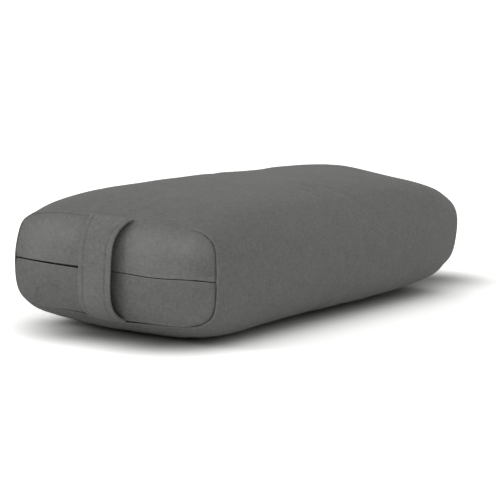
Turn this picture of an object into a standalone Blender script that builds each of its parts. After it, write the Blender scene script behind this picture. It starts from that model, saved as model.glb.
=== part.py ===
# Rectangular yoga bolster: a firm, layered cushion in a sewn cover, with a zip and a carry handle
# across one end. Metres, +Z up. X runs along the length and the handle end faces -X. The origin is
# under the middle of the whole outline, at the height of the floor.

import math

import bmesh
import bpy
from mathutils import Vector

# Cushion, driving sizes
seam_length = 0.606
middle_width = 0.300
end_width = 0.280
crown_height = 0.165
end_height = 0.139
front_lift = 0.020
rear_lift = 0.020
flat_cut = 0.0005
front_bulge = 0.0155
rear_bulge = 0.0170

# Cushion, how the outline changes along the length
crest_shift_share = 0.09
width_power = 4.4
crown_power = 5.3
front_lift_power = 12.0
rear_lift_power = 4.2
front_corner_power = 4.6
rear_corner_power = 3.8
middle_corner_power = 2.6
middle_low_corner_power = 3.1
bulge_power = 3.6
inner_sides = 2
inner_tops = 4
cover_sides = 4
cover_tops = 8

# Cloth and seams
cover_cloth = 0.0012
sewn_gap = 0.0003
seam_allowance = 0.0080
binding_cloth = 0.0008
binding_setback = 0.0018
strip_width = 0.0160
weld = 0.000001

# Zip, set in the handle end; depths are measured inwards from the end's face
slit_closed = 0.0015
slit_parted = 0.0031
slit_change_length = 0.0200
lip_turn = 0.0022
lip_fade_power = 10
zip_drop = 0.0012
slider_depth = 0.0026
slider_length = 0.0110
slider_width = 0.0092
slider_corner = 0.0018
plate_thickness = 0.0008
flange_width = 0.0012
post_length = 0.0030
running_gap = 0.0003
row_gap = 0.0020
row_width = 0.0020
row_height = 0.0014
row_end_margin = 0.0135
tape_thickness = 0.0005
tape_rise_start = 0.0052
tape_rise_end = 0.0078
tape_half_width = 0.0130
stop_length = 0.0030
stop_height = 0.0016
stop_corner = 0.0004
zip_steps = 26
row_steps = 40
row_sides = 6

# Slider's bridge and pull
bridge_width = 0.0009
bridge_bar = 0.0011
bridge_length = 0.0052
pull_lift = 0.0010
pull_thickness = 0.0010
pull_length = 0.0105
pull_width = 0.0050
pull_arm = 0.0011
pull_eye_length = 0.0032
pull_corner = 0.0014
pull_hole_radius = 0.0009
pull_hole_sides = 16

# Handle
handle_reach = 0.0320
handle_offset = 0.0060
handle_middle_width = 0.0440
handle_end_width = 0.0560
handle_flare_power = 3.0
handle_bow_power = 2.7
handle_face_cloth = 0.0009
handle_core_cloth = 0.0010
handle_back_cloth = 0.0009
handle_core_margin = 0.0040
handle_steps = 20
handle_cross_steps = 2

# Inner cushion
liner_setback = 0.0105
liner_cloth = 0.0006
liner_bulge = 0.0120
liner_allowance = 0.0040
batting_thickness = 0.0080
batting_setback = 0.0050
core_gap = 0.0009
core_bulge = 0.0150
layer_gap = 0.0004
layer_split_shares = (0.36, 0.68)

# Places worked out from the sizes
outline_length = handle_reach + seam_length + rear_bulge
front_seam = handle_reach - outline_length / 2
rear_seam = front_seam + seam_length
middle_x = (front_seam + rear_seam) / 2
allowance_share = 1 - 2 * seam_allowance / seam_length
cover_station_shares = (-1.0, -allowance_share, -0.9, -0.78, -0.56, -0.28, 0.02, 0.32, 0.58, 0.79,
                        0.91, allowance_share, 1.0)
panel_inset = cover_cloth + sewn_gap
binding_inset = panel_inset + cover_cloth + sewn_gap
liner_inset = cover_cloth + sewn_gap
liner_floor = liner_inset + binding_cloth + sewn_gap
batting_inset = liner_inset + liner_cloth + sewn_gap
batting_floor = liner_floor + liner_cloth + sewn_gap
core_inset = batting_inset + batting_thickness + core_gap
core_floor = batting_floor + batting_thickness + core_gap
liner_start = front_seam + liner_setback
liner_end = rear_seam - liner_setback
batting_start = liner_start + batting_setback
batting_end = liner_end - batting_setback
row_depth = slider_depth + plate_thickness + running_gap + row_height / 2
tape_depth = row_depth + row_height / 2 + sewn_gap + tape_thickness / 2
tape_seat_depth = cover_cloth + sewn_gap + tape_thickness / 2
lower_plate_depth = tape_depth + tape_thickness / 2 + running_gap
handle_thickness = handle_face_cloth + handle_core_cloth + handle_back_cloth + 2 * sewn_gap
finger_gap = handle_reach - front_bulge - handle_thickness
parked_y = handle_offset + slider_length / 2


# Shared steps

def clear_scene():
    for item in list(bpy.data.objects):
        bpy.data.objects.remove(item, do_unlink=True)


def make_material(name, finish):
    colour, roughness, metallic = finish
    material = bpy.data.materials.new(name)
    material.use_nodes = True
    shader = material.node_tree.nodes["Principled BSDF"]
    shader.inputs["Base Color"].default_value = (*colour, 1.0)
    shader.inputs["Roughness"].default_value = roughness
    shader.inputs["Metallic"].default_value = metallic
    material.diffuse_color = (*colour, 1.0)
    return material


suede = ((0.162, 0.162, 0.156), 0.92, 0.0)
dark_tape = ((0.035, 0.035, 0.036), 0.85, 0.0)
nylon = ((0.020, 0.020, 0.021), 0.45, 0.0)
dark_metal = ((0.110, 0.110, 0.115), 0.38, 0.9)
raw_cotton = ((0.700, 0.660, 0.580), 0.95, 0.0)
loose_cotton = ((0.800, 0.770, 0.700), 1.0, 0.0)
pressed_cotton = ((0.620, 0.590, 0.530), 1.0, 0.0)


def add_piece(name, bm, finish, smooth_angle=40):
    """Turn a bmesh into a named object with its own material"""
    mesh = bpy.data.meshes.new(name)
    bm.to_mesh(mesh)
    bm.free()
    mesh.materials.append(make_material(name, finish))
    mesh.shade_smooth()
    mesh.set_sharp_from_angle(angle=math.radians(smooth_angle))
    piece = bpy.data.objects.new(name, mesh)
    bpy.context.collection.objects.link(piece)
    return piece


def add_thickness(piece, thickness, offset=-1):
    """Give an open sheet its cloth, by default behind its face"""
    solidify = piece.modifiers.new("cloth", "SOLIDIFY")
    solidify.thickness = thickness
    solidify.offset = offset
    solidify.use_even_offset = True
    solidify.use_rim = True
    return piece


def add_boolean(piece, cutter, operation):
    cutter.hide_render = True
    cutter.display_type = "WIRE"
    cutter.parent = piece
    boolean = piece.modifiers.new(cutter.name, "BOOLEAN")
    boolean.object = cutter
    boolean.operation = operation
    return piece


def mapped_sheet(columns, rows, place, outward):
    """A grid put in space by place(column, row), with its faces turned the outward way"""
    bm = bmesh.new()
    bmesh.ops.create_grid(bm, x_segments=columns, y_segments=rows, size=1)
    for vertex in bm.verts:
        column = round((vertex.co.x + 1) / 2 * columns)
        row = round((vertex.co.y + 1) / 2 * rows)
        vertex.co = place(column, row)
    bmesh.ops.remove_doubles(bm, verts=bm.verts, dist=weld)
    turn_outward(bm, outward)
    return bm


def turn_outward(bm, outward):
    bm.normal_update()
    facing = sum(outward(face.calc_center_median()).dot(face.normal) * face.calc_area()
                 for face in bm.faces)
    if facing < 0:
        bmesh.ops.reverse_faces(bm, faces=bm.faces)


def box_mesh(low, high, corner=0.0):
    """A box between two corners, with the edges that run along X rounded"""
    bm = bmesh.new()
    bmesh.ops.create_cube(bm, size=1)
    low, high = Vector(low), Vector(high)
    for vertex in bm.verts:
        vertex.co = Vector(low[i] if vertex.co[i] < 0 else high[i] for i in range(3))
    if corner:
        along_x = [edge for edge in bm.edges
                   if abs(edge.verts[0].co.x - edge.verts[1].co.x) > weld]
        bmesh.ops.bevel(bm, geom=along_x, offset=corner, affect="EDGES", segments=3, profile=0.5,
                        material=-1)
    return bm


# The cushion's outline

def plain_section(along):
    """Half width, top and bottom at a share of the cushion's half length"""
    reach = min(abs(along), 1.0)
    lift, lift_power = (front_lift, front_lift_power) if along < 0 else (rear_lift, rear_lift_power)
    half_width = middle_width / 2 - (middle_width - end_width) / 2 * reach ** width_power
    crest = abs(along - crest_shift_share * (1 - along ** 2))
    top = crown_height - (crown_height - end_height) * crest ** crown_power
    bottom = (lift + flat_cut) * reach ** lift_power - flat_cut
    return half_width, top, bottom


def section(along, inset, floor_inset):
    """The outline's sizes drawn in square to the cushion's slope, and its corner powers"""
    here = plain_section(along)
    toward_middle = -1 if along > 0 else 1
    step_share = 0.002
    beside = plain_section(along + toward_middle * step_share)
    run = step_share * seam_length / 2
    stretches = [math.hypot(1, (a - b) / run) for a, b in zip(here, beside)]
    half_width = here[0] - inset * stretches[0]
    top = here[1] - inset * stretches[1]
    bottom = here[2] + floor_inset * stretches[2]
    end_power = front_corner_power if along < 0 else rear_corner_power
    power, low_power = [middle + (end_power - middle) * min(along ** 2, 1.0)
                        for middle in (middle_corner_power, middle_low_corner_power)]
    return half_width, top, bottom, power, low_power


def unit_quarter(power, sides, tops):
    """A quarter outline in shares of its half width and half height, from its side to its top"""
    corner_share = 2 ** (-1 / power)
    quarter = []
    for step in range(sides):
        up = corner_share * step / sides
        quarter.append(((1 - up ** power) ** (1 / power), up))
    for step in range(tops + 1):
        out = corner_share * (1 - step / tops)
        quarter.append((out, (1 - out ** power) ** (1 / power)))
    return quarter


def station_ring(share, inset, floor_inset, sides, tops):
    """The outline across the cushion as y and z, from the middle of the +Y side upwards"""
    half_width, top, bottom, power, low_power = section(share, inset, floor_inset)
    middle = (top + bottom) / 2
    half_height = (top - bottom) / 2
    halves = []
    for half_power in (power, low_power):
        quarter = unit_quarter(half_power, sides, tops)
        halves.append(quarter + [(-out, up) for out, up in reversed(quarter[:-1])])
    outline = halves[0] + [(out, -up) for out, up in reversed(halves[1][1:-1])]
    return [(out * half_width, max(middle + up * half_height, floor_inset)) for out, up in outline]


def along_at(x):
    return (x - middle_x) / (seam_length / 2)


def ring(x, inset, floor_inset, sides, tops):
    """The outline at a place along the cushion, straight between the cover's stations"""
    share = min(max(along_at(x), -1.0), 1.0)
    after = next(i for i, station in enumerate(cover_station_shares) if station >= share - weld)
    after = max(after, 1)
    start, end = cover_station_shares[after - 1:after + 1]
    part = (share - start) / (end - start)
    first = station_ring(start, inset, floor_inset, sides, tops)
    second = station_ring(end, inset, floor_inset, sides, tops)
    return [tuple(Vector(a).lerp(Vector(b), part)) for a, b in zip(first, second)]


def away_from_core(point):
    """Outward direction from the line through the cushion's middle"""
    return Vector((0, point.y, point.z - crown_height / 2))


def tube_sheet(start_x, end_x, inset, floor_inset, sides, tops):
    """The cushion's skin between two places along it, drawn in by an inset"""
    count = 4 * (sides + tops)
    between = [middle_x + share * seam_length / 2 for share in cover_station_shares]
    stations = [start_x] + [x for x in between if start_x + weld < x < end_x - weld] + [end_x]
    rings = [ring(x, inset, floor_inset, sides, tops) for x in stations]

    def place(column, row):
        return (stations[column], *rings[column][row % count])

    return mapped_sheet(len(stations) - 1, count, place, away_from_core)


def half_slit(y):
    """Half the opening between the zip's lips: shut on -Y, parted past the handle on +Y"""
    share = min(max((y - handle_offset) / slit_change_length + 0.5, 0.0), 1.0)
    eased = share * share * (3 - 2 * share)
    return (slit_closed + (slit_parted - slit_closed) * eased) / 2


class EndPanel:
    """The bulged sheet that closes one end of a tube of the same inset"""

    def __init__(self, seam_x, side, inset, floor_inset, bulge, sides, tops):
        self.seam_x = seam_x
        self.side = side
        self.bulge = bulge
        self.insets = (inset, floor_inset, sides, tops)
        half_width, top, bottom, self.power, _ = section(along_at(seam_x), inset, floor_inset)
        self.half_width = half_width
        self.half_height = (top - bottom) / 2
        self.middle = (top + bottom) / 2
        self.slit_height = self.middle - zip_drop
        self.edge = ring(seam_x, *self.insets)
        self.columns = 2 * tops
        self.rows = 2 * sides
        self.arc_radius = (half_width ** 2 + bulge ** 2) / (2 * bulge)

    def face_x(self, y, z):
        """Where the face stands at a point: an arc across, and fuller up and down"""
        across = min(abs(y) / self.half_width, 1.0)
        up = min(abs(z - self.middle) / self.half_height, 1.0)
        reach = min((across ** self.power + up ** self.power) ** (1 / self.power), 1.0)
        arc = math.sqrt(self.arc_radius ** 2 - (reach * self.half_width) ** 2)
        round_part = arc - (self.arc_radius - self.bulge)
        full_part = self.bulge * (1 - reach ** bulge_power)
        upright_share = up ** 2 / max(up ** 2 + across ** 2, weld)
        return self.seam_x + self.side * (round_part + (full_part - round_part) * upright_share)

    def edge_index(self, column, row):
        """The edge point that a column or row of the panel's grid ends on"""
        count = len(self.edge)
        sides = self.rows // 2
        if row == self.rows:
            return sides + column
        if row == 0:
            return (count - sides - column) % count
        if column == 0:
            return (row - sides) % count
        return count // 2 + sides - row

    def flat_point(self, column, row):
        """A point of the panel in y and z, blended from its four edges"""
        across = column / self.columns
        up = row / self.rows

        def edge(c, r):
            return Vector(self.edge[self.edge_index(c, r)])

        low, high = edge(column, 0), edge(column, self.rows)
        left = edge(0, row)
        right = edge(self.columns, row)
        flat = low * (1 - up) + high * up + left * (1 - across) + right * across
        flat -= (edge(0, 0) * (1 - across) + edge(self.columns, 0) * across) * (1 - up)
        flat -= (edge(0, self.rows) * (1 - across) + edge(self.columns, self.rows) * across) * up
        return flat

    def sheet(self, first_row, last_row, lip=0):
        """The face between two rows; lip is 1 or -1 where it ends above or below the zip"""

        def place(column, row):
            y, z = self.flat_point(column, first_row + row)
            if lip and first_row + row == self.rows // 2:
                z = self.slit_height + lip * half_slit(y)
            if column in (0, self.columns) or first_row + row in (0, self.rows):
                return (self.seam_x, y, z)
            return (self.face_x(y, z), y, z)

        return mapped_sheet(self.columns, last_row - first_row, place,
                            lambda point: Vector((self.side, 0, 0)))

    def edge_spot(self, vertex):
        """The index of the edge point that a vertex of the sheet lies on, or None"""
        y, z = vertex.co.yz
        index = min(range(len(self.edge)), key=lambda i: math.dist(self.edge[i], (y, z)))
        nearest = self.edge[index]
        beside_slit = abs(z - nearest[1]) < zip_drop + slit_parted
        return index if abs(nearest[0] - y) < weld and beside_slit else None

    def turn_in_edges(self, bm, allowance):
        """Fold the outer edge in along the tube"""
        outer = [edge for edge in bm.edges if edge.is_boundary
                 and all(self.edge_spot(vertex) is not None for vertex in edge.verts)]
        folded = bmesh.ops.extrude_edge_only(bm, edges=outer)["geom"]
        for vertex in [item for item in folded if isinstance(item, bmesh.types.BMVert)]:
            index = self.edge_spot(vertex)
            x = self.seam_x - self.side * allowance
            inner = ring(x, *self.insets)[index]
            vertex.co = (x, inner[0], inner[1] + vertex.co.z - self.edge[index][1])
        turn_outward(bm, lambda point: Vector((self.side, 0, 0)))
        return bm

    def turn_in_lip(self, bm):
        """Fold the edge along the zip inwards, less and less towards its ends"""
        lip = [edge for edge in bm.edges if edge.is_boundary
               and all(abs(vertex.co.z - self.slit_height) < slit_parted
                       and self.edge_spot(vertex) is None
                       and abs(vertex.co.y) < self.half_width for vertex in edge.verts)]
        folded = bmesh.ops.extrude_edge_only(bm, edges=lip)["geom"]
        for vertex in [item for item in folded if isinstance(item, bmesh.types.BMVert)]:
            fade = 1 - (abs(vertex.co.y) / self.half_width) ** lip_fade_power
            vertex.co.x -= self.side * lip_turn * fade
        turn_outward(bm, lambda point: Vector((self.side, 0, 0)))
        return bm


# The zip's curved track

front_panel = EndPanel(front_seam, -1, panel_inset, panel_inset, front_bulge, cover_sides, cover_tops)
arc_x = front_seam - front_bulge + front_panel.arc_radius
zip_z = front_panel.slit_height
row_half_length = front_panel.half_width - row_end_margin
tape_reach = front_panel.half_width - cover_cloth - binding_cloth - 2 * sewn_gap - running_gap


def on_arc(length, depth, up):
    """A point by its length along the zip from the middle, its depth and its height"""
    turn = length / front_panel.arc_radius
    radius = front_panel.arc_radius - depth
    return (arc_x - radius * math.cos(turn), radius * math.sin(turn), zip_z + up)


def from_arc_centre(point):
    return Vector((point.x - arc_x, point.y, 0))


def tape(name, side):
    """A woven tape: flat under its row of coils, then up to its stitching on the panel"""
    profile = ((row_gap / 2, tape_depth), (tape_rise_start, tape_depth),
               (tape_rise_end, tape_seat_depth), (tape_half_width, tape_seat_depth))

    def place(column, row):
        up, depth = profile[row]
        return on_arc(tape_reach * (2 * column / zip_steps - 1), depth, side * up)

    bm = mapped_sheet(zip_steps, len(profile) - 1, place, from_arc_centre)
    return add_thickness(add_piece(name, bm, dark_tape), tape_thickness, offset=0)


def coil_row(name, side):
    """One row of the zip's coils, as a bead along the tape's inner edge"""
    up = (row_gap + row_width) / 2

    def place(column, row):
        turn = math.tau * row / row_sides
        depth = row_depth + math.sin(turn) * row_height / 2
        height = side * up + math.cos(turn) * row_width / 2
        return on_arc(row_half_length * (2 * column / row_steps - 1), depth, height)

    def from_row(point):
        return Vector((0, 0, point.z - zip_z - side * up))

    bm = mapped_sheet(row_steps, row_sides, place, from_row)
    bmesh.ops.holes_fill(bm, edges=[edge for edge in bm.edges if edge.is_boundary])
    bmesh.ops.recalc_face_normals(bm, faces=bm.faces)
    return add_piece(name, bm, nylon)


def end_stop(name, length, low_up, high_up):
    """A clamped end stop that starts at a length along the zip"""
    x, y, z = on_arc(length, tape_depth - tape_thickness / 2 - sewn_gap, 0)
    near_y, far_y = sorted((y, y + math.copysign(stop_length, length)))
    bm = box_mesh((x - stop_height, near_y, z + low_up), (x, far_y, z + high_up), stop_corner)
    return add_piece(name, bm, dark_metal)


def end_stops():
    outer = row_gap / 2 + row_width
    start = row_half_length + sewn_gap
    end_stop("zip_bottom_stop", -start, -outer, outer)
    end_stop("zip_top_stop_upper", start, row_gap / 2, outer)
    end_stop("zip_top_stop_lower", start, -outer, -row_gap / 2)


def arch_mesh():
    """The slider's bridge: an arch over the pull's bar, thin enough for the slit"""
    top = -(pull_lift + pull_thickness / 2 + running_gap + bridge_bar)
    inner_top = top + bridge_bar
    foot = slider_depth + plate_thickness / 2
    outer = bridge_length / 2
    inner = outer - bridge_bar
    round_off = bridge_bar / 2
    outline = ((foot, -outer), (top + round_off, -outer), (top, -outer + round_off),
               (top, outer - round_off), (top + round_off, outer), (foot, outer),
               (foot, inner), (inner_top, inner), (inner_top, -inner), (foot, -inner))
    bm = bmesh.new()
    corners = [bm.verts.new((depth, y, -bridge_width / 2)) for depth, y in outline]
    face = bm.faces.new(corners)
    raised = bmesh.ops.extrude_face_region(bm, geom=[face])["geom"]
    bmesh.ops.translate(bm, verts=[item for item in raised if isinstance(item, bmesh.types.BMVert)],
                        vec=(0, 0, bridge_width))
    bmesh.ops.recalc_face_normals(bm, faces=bm.faces)
    return bm


def slider():
    """Two plates joined by a post between the rows, with flanges that hold the rows in"""
    half_length, half_width = slider_length / 2, slider_width / 2
    plate_inner = slider_depth + plate_thickness
    flange_end = tape_depth - tape_thickness / 2 - running_gap
    bm = box_mesh((slider_depth, -half_length, -half_width), (flange_end, half_length, half_width),
                  slider_corner)
    body = add_piece("zip_slider", bm, dark_metal)
    channel = box_mesh((plate_inner, -slider_length, flange_width - half_width),
                       (lower_plate_depth, slider_length, half_width - flange_width))
    add_boolean(body, add_piece("slider_channel_cutter", channel, dark_metal), "DIFFERENCE")
    lower = box_mesh((lower_plate_depth, -half_length, -half_width),
                     (lower_plate_depth + plate_thickness, half_length, half_width), slider_corner)
    add_boolean(body, add_piece("slider_lower_plate", lower, dark_metal), "UNION")
    post_half = row_gap / 2 - running_gap
    post = box_mesh((plate_inner - plate_thickness / 2, half_length - post_length, -post_half),
                    (lower_plate_depth + plate_thickness / 2, half_length, post_half))
    add_boolean(body, add_piece("slider_post", post, dark_metal), "UNION")
    add_boolean(body, add_piece("slider_bridge", arch_mesh(), dark_metal), "UNION")
    return body


def pull():
    """A short flat tab with an eye round the bridge; its bar is the hinge, at the origin"""
    half_bar, half_width = pull_thickness / 2, pull_width / 2
    bm = box_mesh((-half_bar, -pull_length, -half_width), (half_bar, half_bar, half_width), pull_corner)
    tab = add_piece("zip_pull", bm, dark_metal)
    eye = box_mesh((-pull_thickness, -half_bar - pull_eye_length, pull_arm - half_width),
                   (pull_thickness, -half_bar, half_width - pull_arm))
    add_boolean(tab, add_piece("pull_eye_cutter", eye, dark_metal), "DIFFERENCE")
    hole = bmesh.new()
    bmesh.ops.create_cone(hole, cap_ends=True, segments=pull_hole_sides, radius1=pull_hole_radius,
                          radius2=pull_hole_radius, depth=2 * pull_thickness)
    cutter = add_piece("pull_hole_cutter", hole, dark_metal)
    cutter.rotation_euler.y = math.pi / 2
    cutter.location.y = (pull_corner + pull_hole_radius) - pull_length
    add_boolean(tab, cutter, "DIFFERENCE")
    return tab


def zip_parts():
    print("zip")
    tape("zip_tape_upper", 1)
    tape("zip_tape_lower", -1)
    coil_row("zip_coil_upper", 1)
    coil_row("zip_coil_lower", -1)
    end_stops()
    pivot = bpy.data.objects.new("zip_arc_centre", None)
    bpy.context.collection.objects.link(pivot)
    pivot.location = (arc_x, 0, zip_z)
    pivot.rotation_euler.z = -math.asin(parked_y / front_panel.arc_radius)
    body = slider()
    body.parent = pivot
    body.location.x = -front_panel.arc_radius
    tab = pull()
    tab.parent = body
    tab.location.x = -pull_lift


# The cover

def cover_parts():
    print("cover")
    wrap = tube_sheet(front_seam, rear_seam, 0.0, 0.0, cover_sides, cover_tops)
    add_thickness(add_piece("cover_wrap", wrap, suede), cover_cloth)
    lower = front_panel.sheet(0, cover_sides, lip=-1)
    front_panel.turn_in_lip(lower)
    front_panel.turn_in_edges(lower, seam_allowance)
    add_thickness(add_piece("end_panel_lower", lower, suede), cover_cloth)
    upper = front_panel.sheet(cover_sides, 2 * cover_sides, lip=1)
    front_panel.turn_in_lip(upper)
    front_panel.turn_in_edges(upper, seam_allowance)
    add_thickness(add_piece("end_panel_upper", upper, suede), cover_cloth)
    rear = EndPanel(rear_seam, 1, panel_inset, panel_inset, rear_bulge, cover_sides, cover_tops)
    rear_sheet = rear.turn_in_edges(rear.sheet(0, rear.rows), seam_allowance)
    add_thickness(add_piece("rear_panel", rear_sheet, suede), cover_cloth)
    for name, seam_x, side in (("front_seam_binding", front_seam, 1), ("rear_seam_binding", rear_seam, -1)):
        start, end = seam_x + side * binding_setback, seam_x + side * seam_allowance
        band = tube_sheet(min(start, end), max(start, end), binding_inset, binding_inset, cover_sides,
                          cover_tops)
        add_thickness(add_piece(name, band, dark_tape), binding_cloth)


def underside_strip():
    """The tape over the seam that closes the wrap, inside along the underside"""
    inner_floor = (panel_inset, panel_inset, cover_sides, cover_tops)
    between = [middle_x + share * seam_length / 2 for share in cover_station_shares]
    stations = [liner_start] + [x for x in between if liner_start < x < liner_end] + [liner_end]

    def place(column, row):
        x = stations[column]
        return (x, strip_width * (row - 0.5), min(z for y, z in ring(x, *inner_floor)))

    bm = mapped_sheet(len(stations) - 1, 1, place, lambda point: Vector((0, 0, -1)))
    add_thickness(add_piece("underside_seam_binding", bm, dark_tape), binding_cloth)


# The handle

def handle_back_point(share):
    """The handle's inner face over the panel's middle, as x and z, at a share of its half span"""
    z = front_panel.middle + share * front_panel.half_height
    bow = 1 - abs(share) ** handle_bow_power
    x = front_panel.face_x(0, z) - sewn_gap - (finger_gap - sewn_gap) * bow
    return Vector((x, z))


def handle_layer(name, outer_offset, cloth, margin, finish):
    """One layer of the handle, its outer face at an offset from the handle's inner face"""
    step_share = 0.01

    def place(column, row):
        share = 2 * row / handle_steps - 1
        here = handle_back_point(share)
        run = handle_back_point(min(share + step_share, 1)) - handle_back_point(max(share - step_share, -1))
        outward = Vector((-run.y, run.x)).normalized()
        flare = (handle_end_width - handle_middle_width) * abs(share) ** handle_flare_power
        width = handle_middle_width + flare - 2 * margin
        across = column / handle_cross_steps - 0.5
        spot = here + outward * outer_offset
        return (spot.x, handle_offset - across * width, spot.y)

    bm = mapped_sheet(handle_cross_steps, handle_steps, place, lambda point: Vector((-1, 0, 0)))
    return add_thickness(add_piece(name, bm, finish), cloth)


def handle_parts():
    print("handle")
    back = handle_back_cloth
    core = back + sewn_gap + handle_core_cloth
    face = core + sewn_gap + handle_face_cloth
    handle_layer("handle_back", back, handle_back_cloth, 0.0, suede)
    handle_layer("handle_webbing", core, handle_core_cloth, handle_core_margin, dark_tape)
    handle_layer("handle_face", face, handle_face_cloth, 0.0, suede)


# The inner cushion

def liner_parts():
    print("liner and batting")
    tube = tube_sheet(liner_start, liner_end, liner_inset, liner_floor, inner_sides, inner_tops)
    add_thickness(add_piece("liner_wrap", tube, raw_cotton), liner_cloth)
    for name, seam_x, side in (("liner_front_end", liner_start, -1), ("liner_rear_end", liner_end, 1)):
        end = EndPanel(seam_x, side, batting_inset, batting_floor, liner_bulge, inner_sides, inner_tops)
        sheet = end.turn_in_edges(end.sheet(0, end.rows), liner_allowance)
        add_thickness(add_piece(name, sheet, raw_cotton), liner_cloth)
    batting = tube_sheet(batting_start, batting_end, batting_inset, batting_floor, inner_sides, inner_tops)
    add_thickness(add_piece("batting_wrap", batting, loose_cotton), batting_thickness)


def core_mesh():
    """The pressed filling as one closed body with full ends"""
    sizes = (core_inset, core_floor)
    bm = tube_sheet(batting_start, batting_end, *sizes, inner_sides, inner_tops)
    for seam_x, side in ((batting_start, -1), (batting_end, 1)):
        end = EndPanel(seam_x, side, *sizes, core_bulge, inner_sides, inner_tops)
        sheet = end.sheet(0, end.rows)
        mesh = bpy.data.meshes.new("end")
        sheet.to_mesh(mesh)
        sheet.free()
        bm.from_mesh(mesh)
        bpy.data.meshes.remove(mesh)
    bmesh.ops.remove_doubles(bm, verts=bm.verts, dist=weld)
    bmesh.ops.recalc_face_normals(bm, faces=bm.faces)
    return bm


def slice_off(bm, height, keep_above):
    """Cut a closed body flat at a height, keep one side of it and close the cut"""
    geometry = bm.verts[:] + bm.edges[:] + bm.faces[:]
    cut = bmesh.ops.bisect_plane(bm, geom=geometry, plane_co=(0, 0, height), plane_no=(0, 0, 1),
                                 clear_inner=keep_above, clear_outer=not keep_above)
    rim = [item for item in cut["geom_cut"] if isinstance(item, bmesh.types.BMEdge)]
    bmesh.ops.contextual_create(bm, geom=rim)
    bmesh.ops.recalc_face_normals(bm, faces=bm.faces)


def core_layers():
    print("core")
    lower_cut, upper_cut = (crown_height * share for share in layer_split_shares)
    layers = (("core_lower", None, lower_cut), ("core_middle", lower_cut, upper_cut),
              ("core_upper", upper_cut, None))
    for name, floor, ceiling in layers:
        bm = core_mesh()
        if floor:
            slice_off(bm, floor + layer_gap / 2, True)
        if ceiling:
            slice_off(bm, ceiling - layer_gap / 2, False)
        add_piece(name, bm, pressed_cotton)


clear_scene()
cover_parts()
underside_strip()
handle_parts()
zip_parts()
liner_parts()
core_layers()
print("bolster done")
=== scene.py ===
import math
import random

import bmesh
import bpy
import numpy
from mathutils import Matrix, Vector, noise
from mathutils.bvhtree import BVHTree


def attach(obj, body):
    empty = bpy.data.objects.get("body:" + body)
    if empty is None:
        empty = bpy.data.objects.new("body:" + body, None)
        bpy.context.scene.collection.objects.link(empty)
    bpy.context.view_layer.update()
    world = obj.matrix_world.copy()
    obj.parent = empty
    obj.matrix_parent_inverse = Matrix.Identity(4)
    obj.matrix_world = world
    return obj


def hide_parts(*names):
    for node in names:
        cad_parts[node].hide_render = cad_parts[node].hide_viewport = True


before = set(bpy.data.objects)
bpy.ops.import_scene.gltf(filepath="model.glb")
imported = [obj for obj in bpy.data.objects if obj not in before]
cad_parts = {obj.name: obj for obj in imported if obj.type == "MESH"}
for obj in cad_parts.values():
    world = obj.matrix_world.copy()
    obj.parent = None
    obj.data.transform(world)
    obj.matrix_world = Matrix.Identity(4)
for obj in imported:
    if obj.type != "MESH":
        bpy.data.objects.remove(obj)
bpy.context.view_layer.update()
tiny = 0.000001

# The cushion's outline, in metres. X runs along it and the handle end faces -X.
cushion = {
    "seamLength": 0.606,
    "middleWidth": 0.300,
    "endWidth": 0.280,
    "crownHeight": 0.165,
    "endHeight": 0.139,
    "frontLift": 0.020,
    "rearLift": 0.020,
    "flatCut": 0.0005,
    "frontBulge": 0.0155,
    "rearBulge": 0.0170,
    "frontSeam": -0.2955,
    "rearSeam": 0.3105,
    "crestShift": 0.09,
    "widthPower": 4.4,
    "crownPower": 5.3,
    "frontLiftPower": 12.0,
    "rearLiftPower": 4.2,
    "frontCorner": 4.6,
    "rearCorner": 3.8,
    "middleCorner": 2.6,
    "middleLowCorner": 3.1,
    "bulgePower": 3.6,
    "slopeStep": 0.002,      # step along the cushion over which its slope is taken
}
middleX = (cushion["frontSeam"] + cushion["rearSeam"]) / 2
halfLength = cushion["seamLength"] / 2


def shareOf(value, start, end):
    # how far a value has come from start to end, from 0 to 1
    return min(max((value - start) / (end - start), 0.0), 1.0)


def easedShare(value, start, end):
    share = shareOf(value, start, end)
    return share * share * (3 - 2 * share)


def bell(away):
    return math.exp(-away ** 2)


def farness(spot, middle, reaches):
    # squared distance from the middle, counted in reaches
    return sum(((here - there) / reach) ** 2 for here, there, reach in zip(spot, middle, reaches))


def bump(spot, middle, reaches):
    # 1 at the middle, nearly nothing three reaches from it
    return math.exp(-farness(spot, middle, reaches) / 2)


def spread(start, end, count):
    return [start + (end - start) * step / count for step in range(count + 1)]


def outlineSizes(along):
    # half the width, the top and the bottom; along goes from -1 at the handle end to 1
    reach = min(abs(along), 1.0)
    end = "front" if along < 0 else "rear"
    narrowing = (cushion["middleWidth"] - cushion["endWidth"]) / 2
    halfWidth = cushion["middleWidth"] / 2 - narrowing * reach ** cushion["widthPower"]
    crest = abs(along - cushion["crestShift"] * (1 - along ** 2))
    drop = cushion["crownHeight"] - cushion["endHeight"]
    top = cushion["crownHeight"] - drop * crest ** cushion["crownPower"]
    rise = (cushion[end + "Lift"] + cushion["flatCut"]) * reach ** cushion[end + "LiftPower"]
    return halfWidth, top, rise - cushion["flatCut"]


def outlineAt(along, inset, floorInset):
    # the outline drawn in square to its slope, and how square its upper and lower corners are
    here = outlineSizes(along)
    step = cushion["slopeStep"] * (-1 if along > 0 else 1)
    beside = outlineSizes(along + step)
    run = abs(step) * halfLength
    stretch = [math.hypot(1, (a - b) / run) for a, b in zip(here, beside)]
    end = "front" if along < 0 else "rear"
    powers = [middle + (cushion[end + "Corner"] - middle) * min(along ** 2, 1.0)
              for middle in (cushion["middleCorner"], cushion["middleLowCorner"])]
    return (here[0] - inset * stretch[0], here[1] - inset * stretch[1],
            here[2] + floorInset * stretch[2], *powers)


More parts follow.
